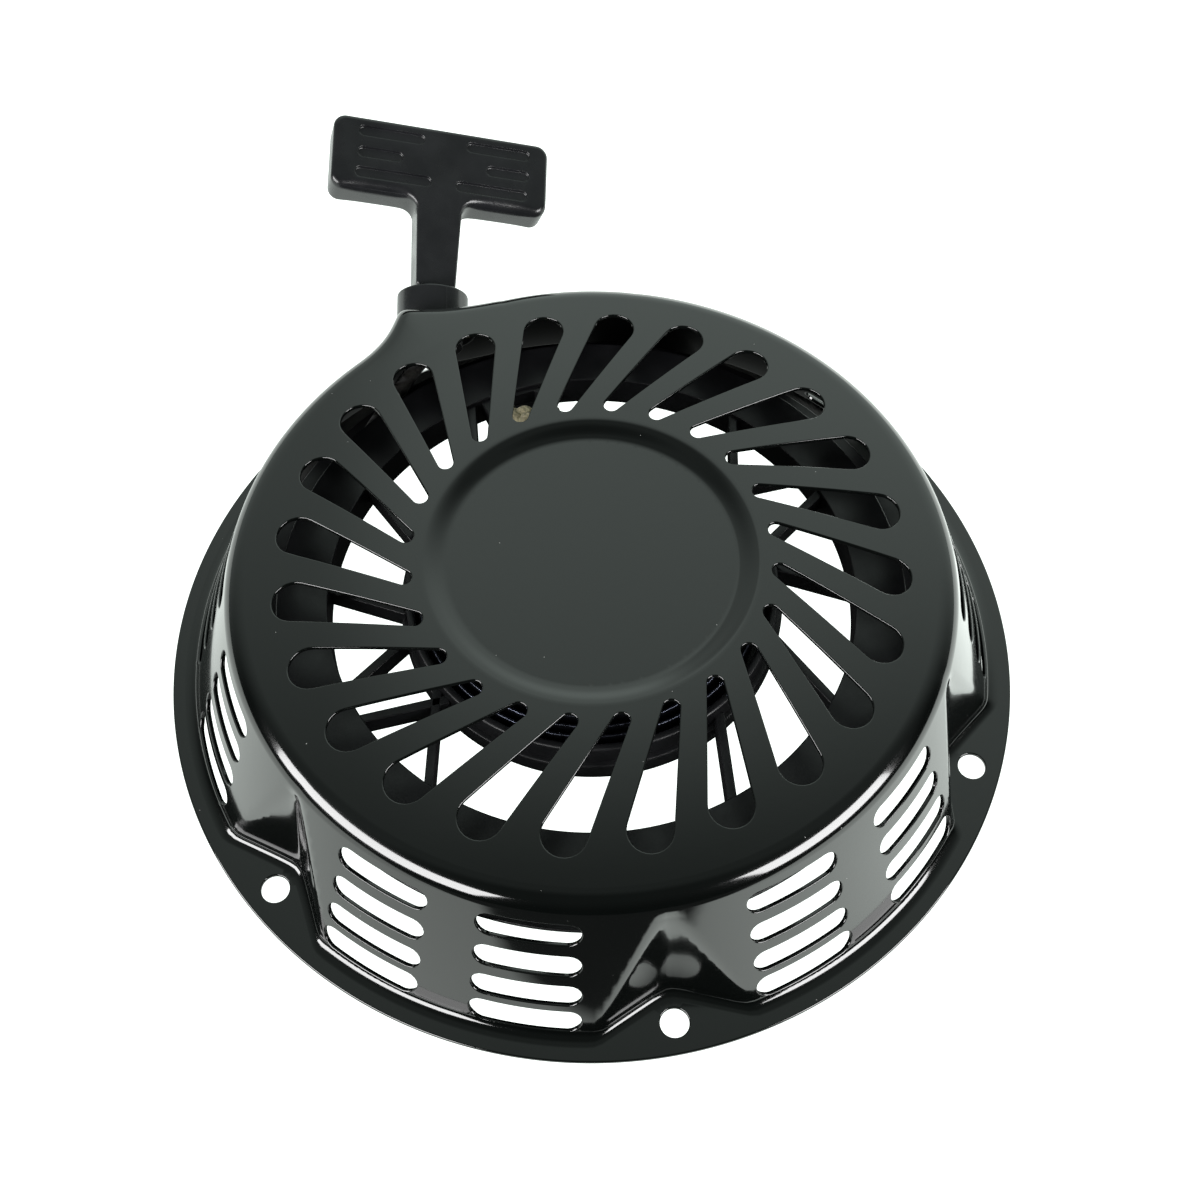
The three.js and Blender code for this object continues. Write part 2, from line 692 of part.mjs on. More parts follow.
// ---------- assembly ----------

const paint = { color: 0x17191a, roughness: 0.28, metalness: 0.3 };
const blackPlastic = { color: 0x1b1b1e, roughness: 0.45, metalness: 0 };
const steel = { color: 0x9a9c9e, roughness: 0.35, metalness: 1 };
const springSteel = { color: 0x5b6068, roughness: 0.3, metalness: 1 };
const cord = { color: 0xcfc9a8, roughness: 0.85, metalness: 0 };
const zinc = { color: 0xb9a35a, roughness: 0.4, metalness: 0.9 };

const pieces = [
  ["housing", housing(), paint],
  ["centre_post", centrePost(), steel],
  ["rope_guide", ropeGuide(), blackPlastic],
  ["reel", reel(), blackPlastic],
  ["recoil_spring", recoilSpring(), springSteel],
  ["wound_rope", woundRope(), cord],
  ["reel_rope_knot", reelRopeKnot(), cord],
  ["ratchet_1", ratchet(), steel],
  ["ratchet_2", spun(ratchet(), 180), steel],
  ["ratchet_peg_1", ratchetPeg(), steel],
  ["ratchet_peg_2", spun(ratchetPeg(), 180), steel],
  ["ratchet_spring_1", ratchetSpring(), springSteel],
  ["ratchet_spring_2", spun(ratchetSpring(), 180), springSteel],
  ["thrust_washer", thrustWasher(), steel],
  ["ratchet_guide", ratchetGuide(), zinc],
  ["friction_spring", frictionSpring(), springSteel],
  ["friction_plate", frictionPlate(), steel],
  ["centre_screw", centreScrew(), zinc],
  ["rope_lead", ropeLead(), cord],
  ["handle_grip", handleGrip(), blackPlastic],
  ["handle_washer", handleWasher(), steel],
  ["handle_rope_knot", handleRopeKnot(), cord],
];

const starter = new THREE.Group();
for (const [name, body, look] of pieces) {
  const mesh = new THREE.Mesh(geometryOf(body), new THREE.MeshStandardMaterial(look));
  mesh.name = name;
  starter.add(mesh);
}

export default starter;
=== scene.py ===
"""Looks for a recoil starter: a glossy black pressed case, a moulded T-handle and the rope reel in it.

Lengths below are millimetres and are turned into metres when a mesh is made. The frame is the CAD
part's: origin at the centre of the mounting flange, +Z up, and the rope drawn out along +Y and rising.
"""

import math

import bmesh
import bpy
import numpy as np
from mathutils import Matrix, Vector
from mathutils.geometry import delaunay_2d_cdt


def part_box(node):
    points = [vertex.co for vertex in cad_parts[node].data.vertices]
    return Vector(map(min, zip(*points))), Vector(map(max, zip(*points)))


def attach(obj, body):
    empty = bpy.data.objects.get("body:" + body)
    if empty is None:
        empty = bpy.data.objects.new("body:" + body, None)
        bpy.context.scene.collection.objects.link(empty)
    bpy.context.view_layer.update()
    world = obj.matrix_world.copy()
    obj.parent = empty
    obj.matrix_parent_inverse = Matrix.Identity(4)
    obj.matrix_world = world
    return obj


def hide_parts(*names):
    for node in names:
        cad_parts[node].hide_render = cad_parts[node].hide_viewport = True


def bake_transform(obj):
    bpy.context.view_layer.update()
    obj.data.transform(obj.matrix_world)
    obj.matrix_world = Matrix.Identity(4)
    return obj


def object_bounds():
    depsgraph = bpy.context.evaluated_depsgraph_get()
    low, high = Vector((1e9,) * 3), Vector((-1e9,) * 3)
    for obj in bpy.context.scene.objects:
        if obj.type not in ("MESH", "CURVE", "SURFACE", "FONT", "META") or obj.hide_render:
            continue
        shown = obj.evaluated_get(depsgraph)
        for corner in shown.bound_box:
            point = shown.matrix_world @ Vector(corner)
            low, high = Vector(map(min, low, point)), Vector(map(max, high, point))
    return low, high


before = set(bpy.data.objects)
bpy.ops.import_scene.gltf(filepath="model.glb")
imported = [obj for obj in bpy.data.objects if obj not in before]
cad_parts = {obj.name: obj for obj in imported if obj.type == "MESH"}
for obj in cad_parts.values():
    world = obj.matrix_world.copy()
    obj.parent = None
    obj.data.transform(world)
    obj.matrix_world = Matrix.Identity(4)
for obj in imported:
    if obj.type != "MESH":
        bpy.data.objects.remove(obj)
cad_low, cad_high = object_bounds()

MM = 0.001
TAU = 2 * math.pi

# ---------- sizes of the case ----------

SHEET = 1.2
GAP = 0.3  # between pieces that move past each other
FLANGE_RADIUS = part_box("housing")[1].x / MM
LIP = 0.5  # rounding of the flange's rim
EDGE_ROUND = 0.35  # rounding of every punched edge
DISH_DEPTH_HEIGHT = 43.4
DISH_FOOT_RADIUS = 36.0
DISH_TOP_RADIUS = 41.8
CROWN_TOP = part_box("housing")[1].z / MM
CROWN_FLAT_RADIUS = 44.5
CROWN_FALL = 2.4  # from the flat ring to the crown's edge
CROWN_EDGE = (85.2, 43.2)
STRETCH_FROM = 79.3  # the crown is drawn out from here towards the rope outlet
HEAD_HEIGHT = 39.2
HEAD_CORNER = (4.4, -0.52, -1.4, 3.48)  # from both ends of the crown's fillet to its corner
WALL_FOOT_RADIUS = 105.7
WALL_FOOT_HEIGHT = 2.6
WALL_LEAN = 0.4016  # inwards for each mm of height
FOOT_HEIGHT = 3.2  # where the wall turns out into the flange
FOOT_REACH = 3.0
HANDLE_SHARE = 0.6  # how far a fillet's control points stand towards its corner

# The case is laid out flat as a disc: the distance from the middle says which stretch a point is in.
FLAT_EDGE = CROWN_EDGE[0]
FLAT_HEAD = 93.0
FLAT_FOOT = 131.0
FLAT_FLOOR = 135.0
FLAT_RIM = 140.0

CROWN_SLOTS = 24
CROWN_SLOT_OUTER = (73.4, 10.0, 5.3)  # radius, angle, end radius
CROWN_SLOT_INNER = (46.4, 23.3, 2.0)
SIDE_COLUMNS = (44.5, 21.5, 359.5, 321.4, 299, 261, 239, 200.4, 177.4, 154.5)
SIDE_HEIGHTS = (5.9, 14.4, 24.0, 33.8)
SIDE_SPAN = 14.8
SIDE_HALF_HEIGHT = 3.1
BOLT_ANGLES = (221.5, 280.4, 339.0, 82.0)
BOLT_CIRCLE = 105
BOLT_HOLE = 3.5
NOTCH_RADIUS = 97.3
NOTCH_LEAN = 0.165
NOTCH_FLANK = 7.2 / 16.5
NOTCH_SOFT = 0.02  # rounds the valley
NOTCH_FADE = (36.5, 41.0)  # heights over which the notch runs out

ROPE_X = -45.4
ROPE_Z = 26.0
OUTLET_TILT = math.radians(20)  # the rope's line rises as it leaves the case
OUTLET_FACET = 97.7  # y of the outlet's face at the flange
OUTLET_LEAN = 0.338
OUTLET_LEFT = (-54.0, -52.6)  # x of the outlet's left corner at the flange and at the crown
OUTLET_BELLY = 8.0  # how much further out the corner is half way up, times four
OUTLET_FLANK = (-14.3, 4.4)  # the way that its left flank faces
SEAT_Y = 88.0
SEAT_EDGE = (10.9, 12.9)
SEAT_RINGS = (9.4, 10.2, 10.9, 11.4, 11.9, 12.4, 12.9, 13.8)  # radii of the mesh round the seat
OUTLET_HOLE = 8.3

GRID_CLEARANCE = 0.6  # of the case's even mesh from the rings round the seat
HOLE_CLEARANCE = 0.55  # and from every punched hole


# ---------- numbers ----------

def smoothstep(low, high, value):
    t = np.clip((value - low) / (high - low), 0, 1)
    return t * t * (3 - 2 * t)


def smooth_max(a, b, soft):
    near = np.maximum(soft - np.abs(a - b), 0)
    return np.maximum(a, b) + near * near / (4 * soft)


def smooth_min(a, b, soft):
    return -smooth_max(-a, -b, soft)


def bezier(p0, p1, p2, p3, t):
    u = 1 - t
    return u ** 3 * p0 + 3 * u * u * t * p1 + 3 * u * t * t * p2 + t ** 3 * p3


def unit(v):
    return v / np.maximum(np.linalg.norm(v, axis=-1, keepdims=True), 1e-12)


def polar(radius, degrees):
    return np.array([radius * math.cos(math.radians(degrees)), radius * math.sin(math.radians(degrees))])


def turning(first, second, degrees):
    """The matrix of a turn that takes one axis, by number, towards another."""
    c, s = math.cos(math.radians(degrees)), math.sin(math.radians(degrees))
    matrix = np.eye(3)
    matrix[first, first] = matrix[second, second] = c
    matrix[first, second], matrix[second, first] = -s, s
    return matrix


def wrapped(angle):
    return (angle + math.pi) % TAU - math.pi


# ---------- outlines ----------

def capsule(a, ra, b, rb, arc_steps, side_steps):
    """The outline round two circles joined by their outer tangents, counter-clockwise."""
    a, b = np.asarray(a, float), np.asarray(b, float)
    along = math.atan2(*(b - a)[::-1])
    lean = math.acos((ra - rb) / np.linalg.norm(b - a))
    first = along + lean + (TAU - 2 * lean) * np.linspace(0, 1, arc_steps + 1)
    second = along - lean + 2 * lean * np.linspace(0, 1, arc_steps + 1)
    end_a = a + ra * np.stack([np.cos(first), np.sin(first)], 1)
    end_b = b + rb * np.stack([np.cos(second), np.sin(second)], 1)
    share = np.linspace(0, 1, side_steps + 1)[1:-1, None]
    over = end_a[-1] + (end_b[0] - end_a[-1]) * share
    back = end_b[-1] + (end_a[0] - end_b[-1]) * share
    return np.concatenate([end_a, over, end_b, back])


def circle(centre, radius, steps):
    turn = np.linspace(0, TAU, steps, endpoint=False)
    return np.asarray(centre, float) + radius * np.stack([np.cos(turn), np.sin(turn)], 1)


def rounded(corners, radii, steps=6):
    """A closed polygon with an arc at each corner."""
    corners = np.asarray(corners, float)
    points = []
    for i, corner in enumerate(corners):
        before = unit(corners[i - 1] - corner)
        after = unit(corners[(i + 1) % len(corners)] - corner)
        half = math.acos(float(np.clip(before @ after, -1, 1))) / 2
        reach = radii[i] / math.tan(half)
        start, end = corner + before * reach, corner + after * reach
        middle = corner + unit(before + after) * (radii[i] / math.sin(half))
        sweep = math.atan2(*(start - middle)[::-1])
        turn = wrapped(math.atan2(*(end - middle)[::-1]) - sweep)
        for k in range(steps + 1):
            angle = sweep + turn * k / steps
            points.append(middle + radii[i] * np.array([math.cos(angle), math.sin(angle)]))
    return np.array(points)


def spaced(points, step):
    """The closed outline again, with long sides divided."""
    result = []
    for a, b in zip(points, np.roll(points, -1, 0)):
        count = max(1, int(np.linalg.norm(b - a) / step))
        result += [a + (b - a) * k / count for k in range(count)]
    return np.array(result)


def outward(points):
    """Unit normals of a closed counter-clockwise outline."""
    edge = unit(np.roll(points, -1, 0) - points)
    normal = np.stack([edge[:, 1], -edge[:, 0]], 1)
    mean = unit(normal + np.roll(normal, 1, 0))
    return mean / np.maximum((mean * normal).sum(1, keepdims=True), 0.5)


# ---------- meshes ----------

def area_normals(vertices, faces):
    """Vertex normals weighted by face area, so broad faces stay flat beside narrow rounded edges."""
    total = np.zeros_like(vertices)
    for face in faces:
        corners = vertices[list(face)]
        normal = np.zeros(3)
        for i in range(1, len(face) - 1):
            normal += np.cross(corners[i] - corners[0], corners[i + 1] - corners[0])
        total[list(face)] += normal
    return unit(total)


def mesh_object(name, vertices, faces, normals=None, flip=True):
    """A smooth mesh object from millimetres; normals are vertex normals, by area if none are given."""
    vertices = np.asarray(vertices, float)
    mesh = bpy.data.meshes.new(name)
    mesh.from_pydata((vertices * MM).tolist(), [], [tuple(int(i) for i in f) for f in faces])
    if flip:
        work = bmesh.new()
        work.from_mesh(mesh)
        bmesh.ops.recalc_face_normals(work, faces=work.faces)
        work.to_mesh(mesh)
        work.free()
    mesh.shade_smooth()
    if normals is None:
        normals = area_normals(vertices, [tuple(p.vertices) for p in mesh.polygons])
    mesh.normals_split_custom_set_from_vertices(unit(normals).tolist())
    piece = bpy.data.objects.new(name, mesh)
    bpy.context.scene.collection.objects.link(piece)
    return piece


def bridge(first, second):
    """Quads between two loops of vertex numbers of one length."""
    count = len(first)
    return [(first[i], first[(i + 1) % count], second[(i + 1) % count], second[i]) for i in range(count)]


def triangulated(points, loops):
    """Triangles over 2D points, kept to the edges of the loops, which list point numbers."""
    edges = [(loop[i], loop[(i + 1) % len(loop)]) for loop in loops for i in range(len(loop))]
    out = delaunay_2d_cdt([Vector(p) for p in points.tolist()], edges, [], 0, 1e-6)
    if len(out[0]) != len(points):
        raise ValueError(f"the triangulation made {len(out[0])} points of {len(points)} near {points[:3]}")
    order = [source[0] for source in out[3]]
    return np.array([[order[i] for i in face] for face in out[2]])


def inside(points, loop):
    """Which of the points lie inside a closed polygon."""
    result = np.zeros(len(points), bool)
    for a, b in zip(loop, np.roll(loop, -1, 0)):
        crosses = (a[1] > points[:, 1]) != (b[1] > points[:, 1])
        with np.errstate(divide="ignore", invalid="ignore"):
            x = a[0] + (points[:, 1] - a[1]) / (b[1] - a[1]) * (b[0] - a[0])
        result ^= crosses & (points[:, 0] < x)
    return result


class Build:
    """Collects vertices and faces of a mesh."""

    def __init__(self):
        self.vertices = []
        self.faces = []

    def loop(self, points):
        start = len(self.vertices)
        self.vertices.extend(np.asarray(points, float).tolist())
        return list(range(start, start + len(points)))

    def bridge(self, *loops):
        for a, b in zip(loops, loops[1:]):
            self.faces += bridge(a, b)

    def fill(self, loop, holes=()):
        """Flat triangles inside a loop and outside the holes, all at about one height."""
        rows = list(loop) + [i for hole in holes for i in hole]
        flat = np.array([self.vertices[i][:2] for i in rows])
        starts = np.cumsum([0, len(loop)] + [len(h) for h in holes])
        loops = [list(range(a, b)) for a, b in zip(starts, starts[1:])]
        triangles = triangulated(flat, loops)
        middle = flat[triangles].mean(1)
        keep = inside(middle, flat[loops[0]])
        for hole in loops[1:]:
            keep &= ~inside(middle, flat[hole])
        self.faces += [tuple(rows[i] for i in t) for t in triangles[keep]]

    def add(self, vertices, faces):
        start = len(self.vertices)
        self.vertices.extend(np.asarray(vertices, float).tolist())
        self.faces += [tuple(i + start for i in f) for f in faces]

    def piece(self, name):
        return mesh_object(name, np.array(self.vertices), self.faces)


def turned(profile, segments, centre=(0, 0)):
    """Vertices and faces of a closed [radius, height] profile turned about an upright axis."""
    profile = np.asarray(profile, float)
    turn = np.linspace(0, TAU, segments, endpoint=False)
    made = Build()
    rings = []
    for r, z in profile:
        if r < 1e-6:
            rings.append(made.loop([[centre[0], centre[1], z]]))
            continue
        ring = np.stack([centre[0] + r * np.cos(turn), centre[1] + r * np.sin(turn), np.full(segments, z)], 1)
        rings.append(made.loop(ring))
    for a, b in zip(rings, rings[1:] + rings[:1]):
        if len(a) == 1 and len(b) == 1:
            continue
        if len(a) == 1 or len(b) == 1:
            tip, ring = (a[0], b) if len(a) == 1 else (b[0], a)
            made.faces += [(tip, ring[i], ring[(i + 1) % segments]) for i in range(segments)]
        else:
            made.faces += bridge(a, b)
    return np.array(made.vertices), made.faces


def on_axis(profile):
    """The profile with its innermost points moved onto the axis."""
    profile[:, 0] = np.where(profile[:, 0] < 0.05, 0, profile[:, 0])
    return profile


def slab(outline, low, high, bevel_low=0.4, bevel_high=0.4, pockets=(), holes=(), arcs=4):
    """An outline between two heights with rounded rims, through holes, and pockets sunk in its top.

    A bevel is one radius or one for each point. A pocket is (outline function of growth, depth).
    """
    made = Build()
    normal = outward(outline)
    layers = []

    def layer(points, height):
        height = np.broadcast_to(height, len(points))
        return made.loop(np.column_stack([points, height]))

    for k in range(arcs + 1):
        a = math.pi / 2 * k / arcs
        inset = np.broadcast_to(bevel_low, len(outline)) * (1 - math.sin(a))
        lift = np.broadcast_to(bevel_low, len(outline)) * (1 - math.cos(a))
        layers.append(layer(outline - normal * inset[:, None], low + lift))
    for k in range(arcs + 1):
        a = math.pi / 2 * k / arcs
        inset = np.broadcast_to(bevel_high, len(outline)) * (1 - math.cos(a))
        drop = np.broadcast_to(bevel_high, len(outline)) * (1 - math.sin(a))
        layers.append(layer(outline - normal * inset[:, None], high - drop))
    made.bridge(*layers)
    rims_low, rims_high = [], []
    for hole in holes:
        direction = outward(hole)
        below = [(0.3, low), (0.1, low + 0.1), (0, low + 0.3)]
        steps = below + [(grow, low + high - z) for grow, z in below[::-1]]
        rings = [layer(hole + direction * grow, z) for grow, z in steps]
        made.bridge(*rings)
        rims_low.append(rings[0])
        rims_high.append(rings[-1])
    for shape, depth in pockets:
        soft = min(0.22, depth / 3)
        steps = [(soft, 0), (soft / 3, soft / 3), (0, soft), (-0.1, depth - soft), (-0.2, depth - soft / 3),
                 (-0.2 - soft, depth)]
        rings = [layer(shape(grow), high - sink) for grow, sink in steps]
        made.bridge(*rings)
        made.fill(rings[-1])
        rims_high.append(rings[0])
    made.fill(layers[0], rims_low)
    made.fill(layers[-1], rims_high)
    return np.array(made.vertices), made.faces


def swept(points, radius, sides=14):
    """A round tube along points, with its frame carried along so that it doesn't twist."""
    points = np.asarray(points, float)
    tangent = unit(np.gradient(points, axis=0))
    side = unit(np.cross(tangent[0], [0.3, 0.2, 1.0]))
    turn = np.linspace(0, TAU, sides, endpoint=False)
    radii = np.broadcast_to(radius, len(points))
    made = Build()
    rings = []
    for point, ahead, r in zip(points, tangent, radii):
        side = unit(side - ahead * (side @ ahead))
        up = np.cross(ahead, side)
        ring = point + r * (np.cos(turn)[:, None] * side + np.sin(turn)[:, None] * up)
        rings.append(made.loop(ring))
    made.bridge(*rings)
    made.faces += [tuple(rings[0]), tuple(rings[-1][::-1])]
    return np.array(made.vertices), made.faces


def moved(vertices, degrees):
    """Vertices turned about the reel's axis."""
    return np.asarray(vertices) @ turning(0, 1, degrees).T


# ---------- materials ----------

class Nodes:
    """A short way to write a material's nodes."""

    def __init__(self, name):
        self.material = bpy.data.materials.new(name)
        self.material.use_nodes = True
        self.tree = self.material.node_tree
        self.shader = self.tree.nodes["Principled BSDF"]

    def add(self, kind, inputs=(), **settings):
        node = self.tree.nodes.new("ShaderNode" + kind)
        for key, value in settings.items():
            setattr(node, key, value)
        for socket, value in dict(inputs).items():
            self.set(node, socket, value)
        return node

    def set(self, node, socket, value):
        if isinstance(value, bpy.types.NodeSocket):
            self.tree.links.new(value, node.inputs[socket])
        else:
            node.inputs[socket].default_value = value

    def shade(self, **values):
        for socket, value in values.items():
            self.set(self.shader, socket.replace("_", " "), value)

    def place(self):
        return self.add("TexCoord").outputs["Object"]

    def noise(self, scale, detail=3.0, roughness=0.55, vector=None):
        return self.add("TexNoise", {
            "Vector": vector or self.place(), "Scale": scale, "Detail": detail, "Roughness": roughness,
        }).outputs["Fac"]

    def span(self, value, low, high, new_low, new_high):
        return self.add("MapRange", {
            "Value": value, "From Min": low, "From Max": high, "To Min": new_low, "To Max": new_high,
        }).outputs["Result"]

    def math(self, operation, a, b=0.0):
        return self.add("Math", {0: a, 1: b}, operation=operation).outputs[0]

    def mix(self, share, a, b):
        node = self.tree.nodes.new("ShaderNodeMix")
        node.data_type = "RGBA"
        colours = [s for s in node.inputs if s.type == "RGBA"]
        for socket, value in zip([node.inputs[0], *colours], [share, a, b]):
            if isinstance(value, bpy.types.NodeSocket):
                self.tree.links.new(value, socket)
            else:
                socket.default_value = value
        return [s for s in node.outputs if s.type == "RGBA"][0]

    def bump(self, height, distance, strength=1.0, below=None):
        inputs = {"Height": height, "Distance": distance, "Strength": strength}
        if below is not None:
            inputs["Normal"] = below
        return self.add("Bump", inputs).outputs["Normal"]

    def specks(self, scale, size, share):
        """1 on small round specks in a share of the cells, else 0."""
        cells = self.add("TexVoronoi", {"Vector": self.place(), "Scale": scale})
        near = self.math("LESS_THAN", cells.outputs["Distance"], size)
        pick = self.add("SeparateColor", {"Color": cells.outputs["Color"]}).outputs[0]
        return self.math("MULTIPLY", near, self.math("LESS_THAN", pick, share))


def paint():
    """Glossy black enamel, with painted shade on the inner skin of the pressing: darker, rougher and less
    glossy there.
    """
    n = Nodes("case_paint")
    inner = n.add("Attribute", attribute_name="inner_skin").outputs["Fac"]
    broad = n.noise(22, 2)
    fine = n.noise(900, 2)
    dust = n.specks(700, 0.10, 0.012)
    shade = n.mix(broad, (0.0010, 0.0013, 0.0012, 1), (0.0020, 0.0025, 0.0023, 1))
    # painted shade: the inner skin is painted darker, and below it made rougher with little gloss, so that
    # the inside of the case looks shaded
    shade = n.mix(inner, shade, (0.0006, 0.0007, 0.0007, 1))
    colour = n.mix(dust, shade, (0.16, 0.16, 0.155, 1))
    rough = n.math("ADD", n.span(broad, 0.3, 0.7, 0.07, 0.13), n.math("MULTIPLY", dust, 0.5))
    rough = n.math("ADD", rough, n.math("MULTIPLY", inner, 0.35))
    peel = n.bump(n.noise(330, 1), 0.00002, 0.35)
    n.shade(Base_Color=colour, Roughness=rough, Normal=n.bump(fine, 0.000004, 0.5, peel))
    n.shade(IOR=1.52, Coat_Weight=n.span(inner, 0, 1, 0.35, 0), Coat_Roughness=0.04)
    n.shade(Specular_IOR_Level=n.span(inner, 0, 1, 0.5, 0.04))
    return n.material


def moulded(name, dark, light, rough, grain=0.00004, blotch=60):
    n = Nodes(name)
    broad = n.noise(blotch, 3)
    fine = n.noise(1800, 3, 0.6)
    colour = n.mix(n.span(broad, 0.35, 0.65, 0, 1), (*dark, 1), (*light, 1))
    n.shade(
        Base_Color=colour,
        Roughness=n.span(n.noise(140, 3), 0.3, 0.7, rough - 0.06, rough + 0.08),
        Normal=n.bump(fine, grain, 0.35, n.bump(n.noise(220, 2), 0.00006, 0.2)),
    )
    n.shade(IOR=1.49)
    return n.material


def metal(name, colour, rough, stretch=(1, 1, 1), blue=0.0):
    n = Nodes(name)
    stretched = n.add("Mapping", {"Vector": n.place(), "Scale": stretch}).outputs["Vector"]
    streaks = n.noise(900, 3, 0.6, stretched)
    broad = n.noise(70, 3)
    darker = tuple(c * 0.72 for c in colour[:2]) + (colour[2] * (0.72 + blue), 1)
    tone = n.mix(n.span(broad, 0.3, 0.7, 0, 1), (*colour, 1), darker)
    n.shade(Base_Color=tone, Roughness=n.span(streaks, 0.3, 0.7, rough - 0.08, rough + 0.12))
    n.shade(Metallic=1.0, Normal=n.bump(streaks, 0.00002, 0.3))
    return n.material


def braid(name, axis_point=None):
    """Braided cord. Along the pulled stretch the pattern follows the rope's own line, and the cord is painted
    dark as shade where it lies inside the case.
    """
    n = Nodes(name)
    if axis_point is None:
        weave = n.add("TexVoronoi", {"Vector": n.place(), "Scale": 780.0}).outputs["Distance"]
        height = n.math("SUBTRACT", 1.0, weave)
    else:
        parts = n.add("SeparateXYZ", {"Vector": n.place()}).outputs
        across, level, rise = (n.math("SUBTRACT", parts[i], axis_point[i] * MM) for i in range(3))
        c, s = math.cos(OUTLET_TILT), math.sin(OUTLET_TILT)
        outwards = n.math("ADD", n.math("MULTIPLY", level, c), n.math("MULTIPLY", rise, s))
        up = n.math("SUBTRACT", n.math("MULTIPLY", rise, c), n.math("MULTIPLY", level, s))
        around = n.math("MULTIPLY", n.math("ARCTAN2", up, across), 4.0)
        along = n.math("MULTIPLY", outwards, TAU / (4.2 * MM))
        left = n.math("SINE", n.math("ADD", along, around))
        right = n.math("SINE", n.math("SUBTRACT", along, around))
        height = n.math("MAXIMUM", left, right)
    fibre = n.noise(2600, 2, 0.7)
    dirt = n.noise(160, 3)
    tone = n.mix(n.span(dirt, 0.35, 0.75, 0, 1), (0.62, 0.56, 0.36, 1), (0.38, 0.33, 0.20, 1))
    # painted shade: on the pulled stretch the cord's colour goes dark short of the outlet, inside the case
    if axis_point is not None:
        tone = n.mix(n.span(outwards, -8 * MM, -4 * MM, 0, 1), (0.012, 0.011, 0.008, 1), tone)
    n.shade(Base_Color=tone, Roughness=n.span(fibre, 0.3, 0.7, 0.7, 0.95))
    n.shade(Sheen_Weight=0.3, Normal=n.bump(fibre, 0.0001, 0.5, n.bump(height, 0.0005, 0.8)))
    return n.material


def dressed(piece, material, body, slot, *nodes):
    """Gives a piece its material and body, and hides the CAD nodes that it stands for. The slot is not used.
    """
    piece.data.materials.clear()
    piece.data.materials.append(material)
    if body:
        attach(piece, body)
    if nodes:
        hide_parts(*nodes)
    return piece


# ---------- camera, light and floor ----------

FLOOR_GLOW = (1.05, 1.7)  # painted light: the table's glow, rising from the left side to the right side
# glow of the parts of the table painted dark: under the case as shade, and beyond its near edge
FLOOR_DIM = 0.015
FLOOR_NEAR_EDGE = (-0.122, -0.112)  # y over which the bright part of the table ends, at x = 0
FLOOR_WEDGE = 0.72  # how fast that end draws away to both sides
FLOOR_WAVE = 0.02
FLOOR_UNDER_CASE = (0.100, 0.112)  # radius over which the painted shade under the case ends
FLOOR_HALF = 3.0
FLOOR_DROP = 0.0004  # below the flange
FLOOR_PAGE = 1.6  # glow that the camera sees
SHADE_INNER = (0.086, 0.092)  # radii of the painted shadow on the floor that shows through the slots at the back
SHADE_OUTER = (0.108, 0.109)
SHADE_START = (0.0, 0.05)  # y over which that painted shadow begins

VIEW_DOWN = 60.7  # degrees below the horizon
VIEW_DISTANCE = 407.84
VIEW_OFFSET = (0.31, 1.66)  # the small turns that put the object off the frame's middle
VIEW_ROLL = 0.34
LENS = 44.98
NEAREST_SEEN = 0.01

PANEL_DISTANCE = 0.85
PANEL_ELEVATION = 29


def camera():
    down = math.radians(VIEW_DOWN)
    ahead = np.array([0, math.cos(down), -math.sin(down)])
    up = np.array([0, math.sin(down), math.cos(down)])
    axes = np.array([[1.0, 0, 0], up, ahead])
    across, tilt = VIEW_OFFSET
    turns = turning(0, 1, VIEW_ROLL) @ turning(1, 2, tilt) @ turning(0, 2, across)
    right, above, forward = turns @ axes
    place = -ahead * VIEW_DISTANCE * MM
    data = bpy.data.cameras.new("camera")
    data.lens = LENS
    data.sensor_width = 36
    data.clip_start = NEAREST_SEEN
    made = bpy.data.objects.new("camera", data)
    bpy.context.scene.collection.objects.link(made)
    made.matrix_world = Matrix([
        [right[i], above[i], -forward[i], place[i]] for i in range(3)
    ] + [[0, 0, 0, 1]])
    bpy.context.scene.camera = made


def area_light(name, azimuth, elevation, size, power):
    """A soft panel that faces the object; azimuth is the direction it stands in, from +X."""
    data = bpy.data.lights.new(name, "AREA")
    data.shape = "RECTANGLE"
    data.size, data.size_y = size
    data.energy = power
    made = bpy.data.objects.new(name, data)
    a, e = math.radians(azimuth), math.radians(elevation)
    direction = Vector((math.cos(e) * math.cos(a), math.cos(e) * math.sin(a), math.sin(e)))
    made.location = direction * PANEL_DISTANCE
    made.rotation_mode = "QUATERNION"
    made.rotation_quaternion = direction.to_track_quat("Z", "Y")
    bpy.context.scene.collection.objects.link(made)


